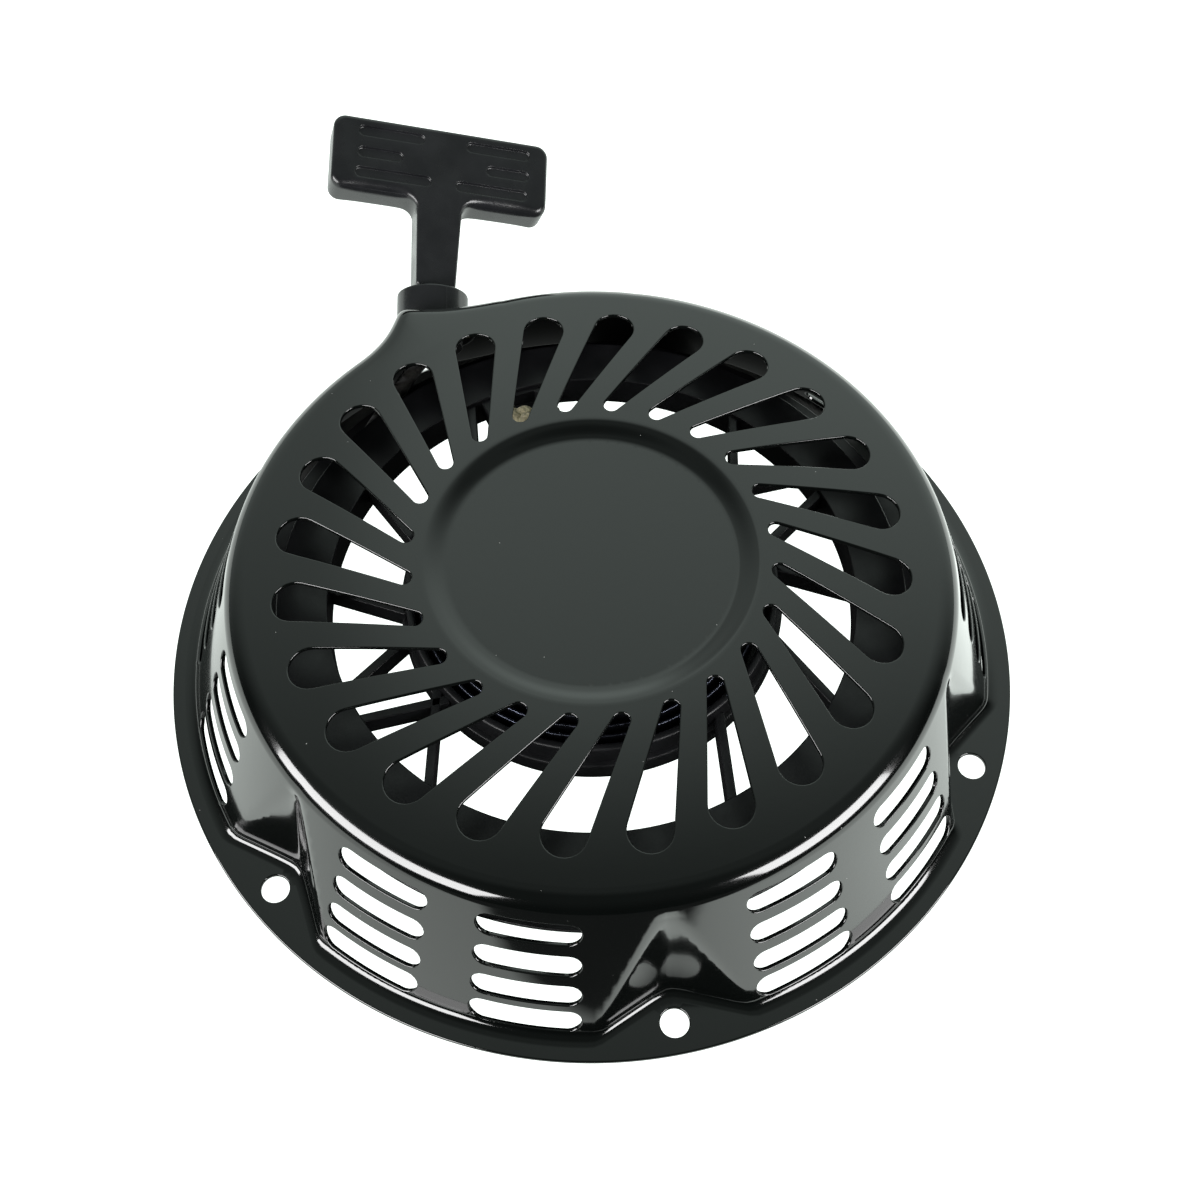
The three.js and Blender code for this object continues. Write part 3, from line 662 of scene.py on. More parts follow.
def surroundings():
    """A dim room: brighter high up at the back, dark on the near side, pale to the camera itself."""
    world = bpy.data.worlds.new("room")
    bpy.context.scene.world = world
    world.use_nodes = True
    tree = world.node_tree
    tree.nodes.clear()

    def node(kind, **settings):
        made = tree.nodes.new("ShaderNode" + kind)
        for key, value in settings.items():
            setattr(made, key, value)
        return made

    def ramp(source, low, high, new_low, new_high):
        made = node("MapRange", interpolation_type="SMOOTHSTEP")
        tree.links.new(source, made.inputs["Value"])
        limits = {"From Min": low, "From Max": high, "To Min": new_low, "To Max": new_high}
        for name, value in limits.items():
            made.inputs[name].default_value = value
        return made.outputs["Result"]

    def combine(operation, a, b):
        made = node("Math", operation=operation)
        tree.links.new(a, made.inputs[0])
        tree.links.new(b, made.inputs[1])
        return made.outputs[0]

    split = node("SeparateXYZ")
    tree.links.new(node("TexCoord").outputs["Generated"], split.inputs[0])
    towards_back = ramp(split.outputs["Y"], 0.05, 0.75, 0, 1.0)
    from_left = ramp(split.outputs["X"], -0.32, -0.1, 0.55, 1)
    above = ramp(split.outputs["Z"], -0.1, 0.05, 0, 1)
    overhead = combine("MULTIPLY", ramp(split.outputs["Z"], 0.3, 0.9, 0.01, 0.17),
                       ramp(split.outputs["Y"], -0.4, -0.1, 0.3, 1))
    back = combine("MULTIPLY", combine("MULTIPLY", towards_back, above), from_left)
    glow = combine("ADD", overhead, back)
    room = node("Background")
    room.inputs["Color"].default_value = (0.87, 1.0, 0.94, 1)
    tree.links.new(glow, room.inputs["Strength"])
    page = node("Background")
    page.inputs["Color"].default_value = (0.92, 0.93, 0.93, 1)
    choose = node("MixShader")
    tree.links.new(node("LightPath").outputs["Is Camera Ray"], choose.inputs[0])
    tree.links.new(room.outputs[0], choose.inputs[1])
    tree.links.new(page.outputs[0], choose.inputs[2])
    tree.links.new(choose.outputs[0], node("OutputWorld").inputs["Surface"])


def floor():
    """A pale table that glows as if lit from below, bright round the object and brighter towards the right,
    dark beyond its near edge, and with painted shade under the case.

    The camera itself sees a white page in it, with a painted shadow ring under the back of the case.
    """
    made = bpy.data.meshes.new("floor")
    corners = [(x * FLOOR_HALF, y * FLOOR_HALF, 0) for x, y in ((-1, -1), (1, -1), (1, 1), (-1, 1))]
    made.from_pydata(corners, [], [(0, 1, 2, 3)])
    piece = bpy.data.objects.new("floor", made)
    piece.location.z = cad_low.z - FLOOR_DROP
    bpy.context.scene.collection.objects.link(piece)
    n = Nodes("floor")
    split = n.add("SeparateXYZ", {"Vector": n.place()}).outputs
    x, y = split["X"], split["Y"]
    reach = n.math("SQRT", n.math("ADD", n.math("MULTIPLY", x, x), n.math("MULTIPLY", y, y)))
    uneven = n.math("MULTIPLY", n.math("SUBTRACT", n.noise(9, 1), 0.5), FLOOR_WAVE)
    wedge = n.math("MULTIPLY", n.math("ABSOLUTE", x), FLOOR_WEDGE)
    near = n.span(n.math("ADD", n.math("ADD", y, wedge), uneven), *FLOOR_NEAR_EDGE, 0, 1)
    # painted shade: the table's glow is dim under the case, as well as beyond its near edge
    lit_table = n.math("MULTIPLY", near, n.span(reach, *FLOOR_UNDER_CASE, 0, 1))
    # painted light: the glow of the lit table rises towards the right side
    glow = n.span(lit_table, 0, 1, FLOOR_DIM, n.span(x, 0, 0.1, *FLOOR_GLOW))
    # painted shadow: a ring under the back of the case is taken out of the white page that the camera sees
    ring = n.math("MULTIPLY", n.span(reach, *SHADE_INNER, 0, 1), n.span(reach, *SHADE_OUTER, 1, 0))
    shadow = n.math("MULTIPLY", n.span(y, *SHADE_START, 0, 1), ring)
    page = n.span(shadow, 0, 1, FLOOR_PAGE, 0.0)
    seen = n.add("LightPath").outputs["Is Camera Ray"]
    strength = n.math("ADD", n.math("MULTIPLY", seen, page),
                      n.math("MULTIPLY", n.math("SUBTRACT", 1.0, seen), glow))
    bright = (0.18, 0.19, 0.18, 1)
    # painted shade: the table's colour is darker where it is not lit, under the case and beyond its near edge
    n.shade(Base_Color=n.mix(lit_table, (0.02, 0.02, 0.02, 1), bright), Roughness=0.9)
    n.shade(Specular_IOR_Level=0.0, Emission_Color=(0.93, 1.0, 0.955, 1), Emission_Strength=strength)
    made.materials.append(n.material)


bpy.context.scene.view_settings.view_transform = "Standard"
camera()
surroundings()
floor()
area_light("left_panel", 217, PANEL_ELEVATION, (0.83, 0.34), 13)
area_light("right_panel", 326, PANEL_ELEVATION, (0.52, 0.34), 8.5)


# ---------- case ----------

def wall_radius(turn, z):
    """Radius of the pressing's wall in plan, with the outlet drawn out and the notches pressed in."""
    x, y = np.cos(turn), np.sin(turn)
    plain = WALL_FOOT_RADIUS - (z - WALL_FOOT_HEIGHT) * WALL_LEAN
    facet = OUTLET_FACET - z * OUTLET_LEAN

    def ray(nx, ny, offset):
        size = np.hypot(nx, ny)
        facing = (nx * x + ny * y) / size
        return np.where(facing > 0.05, offset / size / np.maximum(facing, 0.05), 400.0)

    up = z / CROWN_EDGE[1]
    flank_x = OUTLET_LEFT[0] + (OUTLET_LEFT[1] - OUTLET_LEFT[0]) * up - OUTLET_BELLY * up * (1 - up)
    flank_y = OUTLET_FACET - CROWN_EDGE[1] * OUTLET_LEAN
    flank = ray(*OUTLET_FLANK, OUTLET_FLANK[0] * flank_x + OUTLET_FLANK[1] * flank_y)
    outlet = smooth_min(ray(0.0, 1.0, facet), flank, 3.0)
    outlet = smooth_min(outlet, ray(27.0, 19.0, 27 * -24 + 19 * facet), 4.0)
    outlet = np.where(y > 0, outlet, 0.0)
    wall = smooth_max(plain, outlet, 5.0)
    fade = 1 - smoothstep(*NOTCH_FADE, z)
    for angle in BOLT_ANGLES:
        off = wrapped(turn - math.radians(angle))
        valley = NOTCH_RADIUS - NOTCH_LEAN * (z - SHEET)
        spread = np.sqrt(np.sin(off) ** 2 + NOTCH_SOFT ** 2) - NOTCH_SOFT
        face = valley / np.maximum(np.cos(off) - NOTCH_FLANK * spread, 0.3)
        face = np.where(np.abs(off) < 0.6, face, 400.0)
        wall = wall - (wall - smooth_min(wall, face, 1.2)) * fade
    return wall


def crown_height(r):
    outwards = np.maximum(r - CROWN_FLAT_RADIUS, 0) / (FLAT_EDGE - CROWN_FLAT_RADIUS)
    top = CROWN_TOP - CROWN_FALL * outwards ** 2
    dish = smoothstep(DISH_FOOT_RADIUS, DISH_TOP_RADIUS, r)
    return DISH_DEPTH_HEIGHT + (top - DISH_DEPTH_HEIGHT) * dish


def floor_start(turn):
    return smooth_min(wall_radius(turn, SHEET) + FOOT_REACH, FLANGE_RADIUS - 1.3, 1.0)


def case_surface(flat):
    """Places on the outside of the pressing for points of the flat layout."""
    s = np.hypot(flat[:, 0], flat[:, 1])
    turn = np.arctan2(flat[:, 1], flat[:, 0])
    plain_edge = WALL_FOOT_RADIUS - (CROWN_EDGE[1] - WALL_FOOT_HEIGHT) * WALL_LEAN
    shift = wall_radius(turn, CROWN_EDGE[1]) - plain_edge
    r = s + shift * smoothstep(STRETCH_FROM, FLAT_EDGE, s)
    z = crown_height(np.minimum(s, FLAT_EDGE))

    def stretch(start, end):
        return (s > start) & (s <= end), lambda m: (s[m] - start) / (end - start)

    m, share = stretch(FLAT_EDGE, FLAT_HEAD)
    t = share(m)
    r0, r3 = FLAT_EDGE + shift[m], wall_radius(turn[m], HEAD_HEIGHT)
    dx0, dz0, dx3, dz3 = (HANDLE_SHARE * v for v in HEAD_CORNER)
    r[m] = bezier(r0, r0 + dx0, r3 + dx3, r3, t)
    z[m] = bezier(CROWN_EDGE[1], CROWN_EDGE[1] + dz0, HEAD_HEIGHT + dz3, HEAD_HEIGHT, t)

    m, share = stretch(FLAT_HEAD, FLAT_FOOT)
    z[m] = HEAD_HEIGHT + (FOOT_HEIGHT - HEAD_HEIGHT) * share(m)
    r[m] = wall_radius(turn[m], z[m])

    m, share = stretch(FLAT_FOOT, FLAT_FLOOR)
    t = share(m)
    r0, corner, r3 = wall_radius(turn[m], FOOT_HEIGHT), wall_radius(turn[m], SHEET), floor_start(turn[m])
    r[m] = bezier(r0, r0 + HANDLE_SHARE * (corner - r0), r3 + HANDLE_SHARE * (corner - r3), r3, t)
    drop = HANDLE_SHARE * (FOOT_HEIGHT - SHEET)
    z[m] = bezier(FOOT_HEIGHT, FOOT_HEIGHT - drop, SHEET, SHEET, t)

    m, share = stretch(FLAT_FLOOR, 1e9)
    start = floor_start(turn[m])
    r[m] = start + (FLANGE_RADIUS - LIP - start) * share(m) * (1e9 - FLAT_FLOOR) / (FLAT_RIM - FLAT_FLOOR)
    z[m] = SHEET

    x, y = r * np.cos(turn), r * np.sin(turn)
    seat = 1 - smoothstep(*SEAT_EDGE, np.hypot(x - ROPE_X, (z - ROPE_Z) / math.cos(OUTLET_TILT)))
    seat_y = SEAT_Y - (z - ROPE_Z) * math.tan(OUTLET_TILT)
    y = np.where((y > 70) & (s > FLAT_HEAD), y + (seat_y - y) * seat, y)
    return np.stack([x, y, z], 1)


def case_normals(flat):
    step = 0.04
    along = [case_surface(flat + d) - case_surface(flat - d) for d in ([step, 0], [0, step])]
    return unit(np.cross(*along))


def wall_flat(turn, z):
    """Flat layout points on the wall or its foot at a height."""
    s = np.linspace(FLAT_HEAD, FLAT_FLOOR, 400)
    heights = case_surface(np.stack([s, np.zeros_like(s)], 1))[:, 2]
    at = np.interp(-z, -heights, s)
    return np.stack([at * np.cos(turn), at * np.sin(turn)], 1)


def punched_holes():
    """Every punched hole as a function that gives its flat outline, grown by a distance."""

    def crown_slot(turn):
        def outline(grow):
            ro, ao, eo = CROWN_SLOT_OUTER
            ri, ai, ei = CROWN_SLOT_INNER
            return capsule(polar(ro, ao + turn), eo + grow, polar(ri, ai + turn), ei + grow, 14, 14)
        return outline

    def side_slot(angle, height):
        def outline(grow):
            radius = WALL_FOOT_RADIUS - (height - WALL_FOOT_HEIGHT) * WALL_LEAN
            reach = radius * math.sin(math.radians(SIDE_SPAN / 2)) - SIDE_HALF_HEIGHT
            end = SIDE_HALF_HEIGHT + grow
            shape = capsule((-reach, 0), end, (reach, 0), end - 1e-6, 9, 11)
            z = height + shape[:, 1]
            local = WALL_FOOT_RADIUS - (z - WALL_FOOT_HEIGHT) * WALL_LEAN
            return wall_flat(math.radians(angle) + np.arcsin(shape[:, 0] / local), z)
        return outline

    def bolt_hole(angle):
        def outline(grow):
            shape = circle(polar(BOLT_CIRCLE, angle), BOLT_HOLE + grow, 36)
            r, turn = np.hypot(*shape.T), np.arctan2(*shape.T[::-1])
            start = floor_start(turn)
            s = FLAT_FLOOR + (r - start) / (FLANGE_RADIUS - LIP - start) * (FLAT_RIM - FLAT_FLOOR)
            return np.stack([s * np.cos(turn), s * np.sin(turn)], 1)
        return outline

    holes = [crown_slot(360 / CROWN_SLOTS * i) for i in range(CROWN_SLOTS)]
    holes += [side_slot(angle, height) for angle in SIDE_COLUMNS for height in SIDE_HEIGHTS]
    holes += [bolt_hole(angle) for angle in BOLT_ANGLES]
    holes.append(lambda grow: outlet_circle(OUTLET_HOLE + grow, 48))
    return holes


def outlet_circle(radius, steps):
    """A circle round the rope's line, laid out flat."""
    shape = circle((0, 0), radius, steps) * [1, math.cos(OUTLET_TILT)] + [ROPE_X, ROPE_Z]
    turn = np.full(steps, math.atan2(SEAT_Y, ROPE_X))
    for _ in range(12):
        y = wall_radius(turn, shape[:, 1]) * np.sin(turn)
        turn = np.arctan2(y, shape[:, 0])
    return wall_flat(turn, shape[:, 1])


def flat_grid():
    """Rings of points over the layout, close together where the sheet bends."""
    stretches = [(0, 35, 3.2), (35.6, 42.4, 0.75), (43.5, 78, 1.9), (79.2, FLAT_EDGE - 0.3, 0.85),
                 (FLAT_EDGE, FLAT_HEAD, 0.6), (93.8, 130.2, 1.35), (FLAT_FOOT, FLAT_FLOOR, 0.5),
                 (135.7, 139.4, 0.72)]
    even = np.radians(np.arange(0, 360, 1.0))
    near_bolts = [math.radians(a + d) for a in BOLT_ANGLES for d in np.arange(-13.5, 14, 1.0)]
    near_outlet = np.radians(np.arange(101.5, 146, 1.0))
    fine = np.unique(np.round(np.concatenate([even, near_bolts, near_outlet]) % TAU, 6))
    fine = fine[np.append(np.diff(fine) > 0.004, True)]
    points = []
    for low, high, step in stretches:
        for s in np.linspace(low, high, int(round((high - low) / step)) + 1):
            if s < 1:
                points.append([[0, 0]])
            elif s < 79:
                points.append(circle((0, 0), s, max(24, int(TAU * s / (1.5 if 35 < s < 43 else 2.4)))))
            else:
                points.append(np.stack([s * np.cos(fine), s * np.sin(fine)], 1))
    rim = np.stack([FLAT_RIM * np.cos(fine), FLAT_RIM * np.sin(fine)], 1)
    return np.concatenate(points), rim


def clear_of(points, loop, distance):
    """Points that are outside a loop and further from its corners and sides than a distance."""
    low, high = loop.min(0) - distance, loop.max(0) + distance
    near = ((points > low) & (points < high)).all(1)
    keep = np.ones(len(points), bool)
    index = np.flatnonzero(near)
    if len(index):
        some = points[index]
        bad = inside(some, loop)
        a, b = loop, np.roll(loop, -1, 0)
        edge = b - a
        t = np.clip(((some[:, None] - a) * edge).sum(2) / (edge ** 2).sum(1), 0, 1)
        gap = np.linalg.norm(some[:, None] - (a + t[..., None] * edge), axis=2).min(1)
        keep[index] = ~(bad | (gap < distance))
    return keep


def case_piece():
    grid, rim = flat_grid()
    holes = punched_holes()
    seat_rings = [outlet_circle(r, 56) for r in SEAT_RINGS]
    grid = grid[clear_of(grid, seat_rings[-1], GRID_CLEARANCE)]
    grid = np.concatenate([grid, *seat_rings])
    outlines = [hole(EDGE_ROUND) for hole in holes]
    for outline in outlines:
        grid = grid[clear_of(grid, outline, HOLE_CLEARANCE)]
    flat = np.concatenate([grid, rim, *outlines])
    starts = np.cumsum([len(grid), len(rim)] + [len(o) for o in outlines])
    rim_loop = list(range(len(grid), starts[1]))
    loops = [list(range(a, a + len(o))) for a, o in zip(starts[1:], outlines)]
    triangles = triangulated(flat, [rim_loop, *loops])
    owner = np.zeros(len(flat), int)
    for number, loop in enumerate(loops, 1):
        owner[loop] = number
    owned = owner[triangles]
    suspect = np.flatnonzero((owned[:, 0] > 0) & (owned == owned[:, :1]).all(1))
    middle = flat[triangles].mean(1)
    drop = np.zeros(len(triangles), bool)
    for number, outline in enumerate(outlines, 1):
        mine = suspect[owned[suspect, 0] == number]
        drop[mine] = inside(middle[mine], outline)
    triangles = triangles[~drop]

    outer, normal = case_surface(flat), case_normals(flat)
    count = len(flat)
    vertices, normals = [outer, outer - SHEET * normal], [normal, -normal]
    faces = [tuple(t) for t in triangles] + [tuple(t[::-1] + count) for t in triangles]
    total = 2 * count

    def loop_of(places, directions):
        nonlocal total
        vertices.append(places)
        normals.append(unit(directions))
        total += len(places)
        return list(range(total - len(places), total))

    for hole, loop in zip(holes, loops):
        edge, close = hole(0.0), hole(EDGE_ROUND * 0.3)
        edge_place, edge_normal = case_surface(edge), case_normals(edge)
        close_place, close_normal = case_surface(close), case_normals(close)
        tangent = unit(np.roll(edge_place, -1, 0) - np.roll(edge_place, 1, 0))
        inwards = unit(np.cross(edge_normal, tangent))
        inwards *= np.sign(((edge_place.mean(0) - edge_place) * inwards).sum())
        soft = EDGE_ROUND * 0.3
        steps = [
            loop_of(close_place - soft * close_normal, inwards + edge_normal),
            loop_of(edge_place - EDGE_ROUND * edge_normal, inwards),
            loop_of(edge_place - (SHEET - EDGE_ROUND) * edge_normal, inwards),
            loop_of(close_place - (SHEET - soft) * close_normal, inwards - edge_normal),
        ]
        chain = [loop, *steps, [i + count for i in loop]]
        for a, b in zip(chain, chain[1:]):
            faces.extend(bridge(a, b))

    out = unit(outer[rim_loop] * [1, 1, 0])
    upright = np.array([0, 0, 1.0])
    chain = [rim_loop]
    lip_rows = ((-0.13, 0.35, 1), (-0.42, LIP, 0), (-SHEET + 0.42, LIP, 0), (-SHEET + 0.13, 0.35, -1))
    for lift, reach, tilt in lip_rows:
        chain.append(loop_of(outer[rim_loop] + out * reach + upright * lift, out + upright * tilt))
    chain.append([i + count for i in rim_loop])
    for a, b in zip(chain, chain[1:]):
        faces.extend(bridge(a, b))
    piece = mesh_object("case_pressing", np.concatenate(vertices), faces, np.concatenate(normals))
    inner = np.zeros(total)
    inner[count:2 * count] = 1
    piece.data.attributes.new("inner_skin", "FLOAT", "POINT").data.foreach_set("value", inner)
    return piece


case_paint = paint()
dressed(case_piece(), case_paint, "case", "case_paint", "housing")


# ---------- handle and collar ----------

STEM_START = 99.6
BAR_START = 126.3
BAR_END = 148.5
BAR_HALF = 31.5
HANDLE_THICKNESS = 11
HANDLE_ROLL = 16.1
HANDLE_YAW = -1.8
STEM_HALF_LOW = 5.7
STEM_HALF_HIGH = 6.65
POCKET_START = 135.0
POCKET_RADIUS = 4.1
BAR_ROWS = (144.2, 137.7, 131.5)  # y of the sunk bars
LEFT_BARS = ((-24.4, -5.2), (-24.4, -11.3), (-24.9, -2.8))
RIGHT_BARS = ((7.0, 25.9), (13.1, 25.9), (4.2, 25.5))
SUNK_HALF = 1.55
SUNK_DEPTH = 0.75


def tilted(places):
    """Tilts what is drawn level about the middle of the outlet's seat."""
    pivot = np.array([0, SEAT_Y, ROPE_Z])
    return (np.asarray(places, float) - pivot) @ turning(1, 2, math.degrees(OUTLET_TILT)).T + pivot


def on_line(along, aside=0.0):
    """A place on the rope's line out of the case."""
    return tilted([[ROPE_X + aside, along, ROPE_Z]])[0]


def on_handle(vertices):
    """Rolls and yaws what is drawn about the rope's line with the handle, and puts it in its place."""
    turns = turning(0, 1, HANDLE_YAW) @ turning(2, 0, HANDLE_ROLL)
    drawn = np.asarray(vertices) - [0, STEM_START, 0]
    return tilted(drawn @ turns.T + [ROPE_X, STEM_START, ROPE_Z])


def along_y(vertices):
    """Turns what is drawn about the Z axis so that it runs along +Y."""
    v = np.asarray(vertices)
    return np.stack([v[:, 0], v[:, 2], -v[:, 1]], 1)


def on_rope(vertices):
    return tilted(along_y(vertices) + [ROPE_X, 0, ROPE_Z])


def carved(name, vertices, faces, cutters, place):
    """A mesh with others cut out of it, placed by a function of its vertices."""
    body = mesh_object(name, vertices, faces)
    tools = [mesh_object(name + "_tool", *cutter) for cutter in cutters]
    for tool in tools:
        cut = body.modifiers.new("cut", "BOOLEAN")
        cut.operation, cut.solver, cut.object = "DIFFERENCE", "EXACT", tool
    bpy.context.view_layer.update()
    done = bpy.data.meshes.new_from_object(body.evaluated_get(bpy.context.evaluated_depsgraph_get()))
    places = np.array([v.co[:] for v in done.vertices]) / MM
    rings = [tuple(p.vertices) for p in done.polygons]
    for spare in [*tools, body]:
        bpy.data.objects.remove(spare)
    piece = mesh_object(name, place(places), rings)
    return piece


def handle_piece():
    half = BAR_HALF
    right = [(STEM_HALF_LOW, STEM_START), (STEM_HALF_HIGH, BAR_START), (half, BAR_START), (half, BAR_END)]
    corners = right + [(-x, y) for x, y in reversed(right)]
    radii = [1.5, 3.4, 3.4, 3.6, 3.6, 3.4, 3.4, 1.5]
    outline = spaced(rounded(corners, radii, 8), 1.0)
    near_edge = 1 - smoothstep(BAR_START + 0.4, BAR_START + 4.5, outline[:, 1])
    off_stem = smoothstep(STEM_HALF_HIGH + 1.2, STEM_HALF_HIGH + 4.6, np.abs(outline[:, 0]))
    on_bar = outline[:, 1] > BAR_START - 1
    off_end = 1 - smoothstep(half - 7.5, half - 2.5, np.abs(outline[:, 0]))
    big = near_edge * off_stem * on_bar * (0.45 + 0.55 * off_end)
    stem = outline[:, 1] < BAR_START - 3
    bevel_high = np.where(stem, 1.0, 1.4 + 1.8 * big)
    bevel_low = np.where(stem, 1.0, 1.4 + 1.2 * big)
    for _ in range(6):
        bevel_high = (np.roll(bevel_high, 1) + 2 * bevel_high + np.roll(bevel_high, -1)) / 4
        bevel_low = (np.roll(bevel_low, 1) + 2 * bevel_low + np.roll(bevel_low, -1)) / 4

    def sunk(x0, x1, y):
        return lambda grow: capsule(
            (x0 + SUNK_HALF, y), SUNK_HALF + grow, (x1 - SUNK_HALF, y), SUNK_HALF + grow - 1e-6, 9, 8)

    bars = [(sunk(*ends, y), SUNK_DEPTH)
            for side in (LEFT_BARS, RIGHT_BARS) for ends, y in zip(side, BAR_ROWS)]
    top = HANDLE_THICKNESS / 2
    vertices, faces = slab(outline, -top, top, bevel_low, bevel_high, pockets=bars, arcs=8)
    knot_room = [(0, POCKET_START), (POCKET_RADIUS - 0.6, POCKET_START), (POCKET_RADIUS, POCKET_START + 0.6),
                 (POCKET_RADIUS, BAR_END - 0.8), (POCKET_RADIUS + 0.05, BAR_END - 0.4),
                 (POCKET_RADIUS + 0.2, BAR_END), (POCKET_RADIUS + 1.0, BAR_END + 0.8), (0, BAR_END + 0.8)]
    rope_room = [(0, STEM_START - 2), (4.2, STEM_START - 2), (3.4, STEM_START + 0.3), (2.8, STEM_START + 1.4),
                 (2.8, POCKET_START + 1), (0, POCKET_START + 1)]

    def tool(profile):
        v, f = turned(profile, 40)
        return along_y(v), f

    return carved("handle_grip_moulding", vertices, faces, [tool(knot_room), tool(rope_room)], on_handle)


def collar_piece():
    inner, outer, end = 3.4, 10.15, 99.0
    seat = SEAT_Y + 0.15
    behind = SEAT_Y - SHEET - GAP
    neck = OUTLET_HOLE - GAP
    profile = rounded(
        [(inner, 85.2), (6, 83.2), (neck + 0.7, 83.5), (neck + 0.9, behind), (neck, behind), (neck, seat),
          (outer, seat), (outer, end), (5.4, end), (inner, end - 2.0)],
        [0.6, 0.4, 0.2, 0.15, 0.15, 0.1, 0.35, 0.75, 0.7, 0.7], 4)
    vertices, faces = turned(profile[::-1], 96)
    ridge_outline = rounded([(-0.22, 88.7), (0.22, 88.7), (0.22, 98.2), (-0.22, 98.2)], [0.15] * 4, 2)
    ridge = slab(ridge_outline, outer - 0.25, outer + 0.12, 0.02, 0.1)
    made = Build()
    made.add(on_rope(vertices), faces)
    for side in (62, 242):
        turned_ridge = np.asarray(ridge[0])
        c, s = math.cos(math.radians(side)), math.sin(math.radians(side))
        x, y, z = turned_ridge.T
        placed = np.stack([c * z + s * x, y, s * z - c * x], 1)
        made.add(tilted(placed + [ROPE_X, 0, ROPE_Z]), ridge[1])
    return made.piece("rope_collar")


handle_plastic = moulded("handle_plastic", (0.0065, 0.0068, 0.0076), (0.0095, 0.0098, 0.0110), 0.24)
guide_plastic = moulded("collar_plastic", (0.0070, 0.0073, 0.0080), (0.0100, 0.0103, 0.0115), 0.24)
dressed(handle_piece(), handle_plastic, "handle", "handle_plastic", "handle_grip")
dressed(collar_piece(), guide_plastic, "case", "guide_plastic", "rope_guide")


# ---------- reel, rope and spring ----------

REEL_RIM_RADIUS = 80
REEL_LOW_RIM_RADIUS = 88
REEL_RIM_INNER = 67
REEL_ROOT = 68.3
REEL_LOW = 20.5
REEL_HIGH = 30.3
REEL_FLANGE = 1.3
CUP_RADIUS = 47.4
CUP_WALL = 2.0
CUP_LOW = 19.5
CUP_HIGH = 32.5
CUP_FLOOR = 2.0
BOSS_RADIUS = 14.5
BOSS_LOW = 13.2
RIB_THICKNESS = 2.4
RIB_LOW = 23
RIB_HIGH = 29
RIBS = ((179.5, 188), (206, 196), (213, 222), (235, 216), (299, 311), (331, 343))
KNOT_ANGLE = 109
KNOT_PLACE = 59
POST_RADIUS = 10.1
ROPE_RADIUS = 2.3
LEAD_REEL_RADIUS = 77.3
PIVOT_DISTANCE = 26
PIVOT_RADIUS = 3.4


def bar(start, end, thickness, low, high, bevel=0.35):
    """A straight rounded bar between two points in plan."""
    start, end = np.asarray(start, float), np.asarray(end, float)
    ahead = unit(end - start)
    side = np.array([-ahead[1], ahead[0]]) * thickness / 2
    outline = rounded([start - side, end - side, end + side, start + side], [bevel * 1.5] * 4, 2)
    return slab(spaced(outline, 3.0), low, high, bevel, bevel, arcs=2)


def reel_piece():
    made = Build()
    under_top, over_low = REEL_HIGH - REEL_FLANGE, REEL_LOW + REEL_FLANGE
    rim = rounded(
        [(REEL_RIM_INNER, REEL_HIGH), (REEL_RIM_RADIUS, REEL_HIGH), (REEL_RIM_RADIUS, under_top),
         (REEL_ROOT, under_top), (REEL_ROOT, over_low), (REEL_LOW_RIM_RADIUS, over_low),
         (REEL_LOW_RIM_RADIUS, REEL_LOW), (REEL_RIM_INNER, REEL_LOW)],
        [0.45, 0.5, 0.5, 0.4, 0.4, 0.5, 0.5, 0.45], 4)
    made.add(*turned(rim, 192))
    cup = rounded(
        [(CUP_RADIUS - CUP_WALL, CUP_HIGH), (CUP_RADIUS, CUP_HIGH), (CUP_RADIUS, CUP_LOW),
         (BOSS_RADIUS, CUP_LOW), (BOSS_RADIUS, BOSS_LOW), (POST_RADIUS + GAP, BOSS_LOW),
         (POST_RADIUS + GAP, CUP_LOW + CUP_FLOOR), (CUP_RADIUS - CUP_WALL, CUP_LOW + CUP_FLOOR)],
        [0.7, 0.7, 0.9, 0.8, 0.5, 0.3, 0.3, 0.8], 4)
    made.add(*turned(cup, 160))
    shoulder = rounded([(CUP_RADIUS - 0.6, 26.4), (CUP_RADIUS + 1.5, 26.4), (CUP_RADIUS + 1.5, CUP_LOW + 0.8),
                        (CUP_RADIUS - 0.6, CUP_LOW + 0.8)], [0.2, 0.6, 0.5, 0.2], 3)
    made.add(*turned(shoulder, 160))
    for half in (0, 180):
        for rim_angle, cup_angle in RIBS:
            out = polar(REEL_RIM_INNER + 0.8, rim_angle + half)
            middle = polar(CUP_RADIUS - 0.4, cup_angle + half)
            made.add(*bar(middle, out, RIB_THICKNESS, RIB_LOW, RIB_HIGH))
        pivot = rounded([(0, CUP_LOW + 0.6), (0, 12.6), (PIVOT_RADIUS, 12.6), (PIVOT_RADIUS, CUP_LOW + 0.6)],
                        [0.01, 0.01, 0.5, 0.2], 3)
        made.add(*turned(on_axis(pivot), 40, polar(PIVOT_DISTANCE, half)))
        stop = rounded([(31, 5.5), (40, 4), (41, 8), (32, 9.5)], [0.8] * 4, 4)
        vertices, faces = slab(spaced(stop, 1.5), 14, CUP_LOW + 0.6, 0.5, 0.3)
        made.add(moved(vertices, half), faces)
        for k in range(3):  # stiffening fins under the cup's floor
            angle = half + 60 + 30 * k
            inner, outer = polar(BOSS_RADIUS - 0.5, angle), polar(CUP_RADIUS - 1.2, angle)
            made.add(*bar(inner, outer, 1.6, 17.6, CUP_LOW + 0.5))
    block = spaced(rounded([(53, -7.5), (67.8, -9), (67.8, 9), (53, 7.5)], [1.2] * 4, 4), 1.5)
    room = spaced(rounded([(55, -5.6), (65.8, -6.6), (65.8, 6.6), (55, 5.6)], [0.8] * 4, 4), 1.5)
    sink = RIB_HIGH - RIB_LOW - 1.6
    pocket = (lambda grow: room + outward(room) * grow, sink)
    vertices, faces = slab(block, RIB_LOW, RIB_HIGH, pockets=[pocket])
    made.add(moved(vertices, KNOT_ANGLE), faces)
    return made.piece("rope_reel")


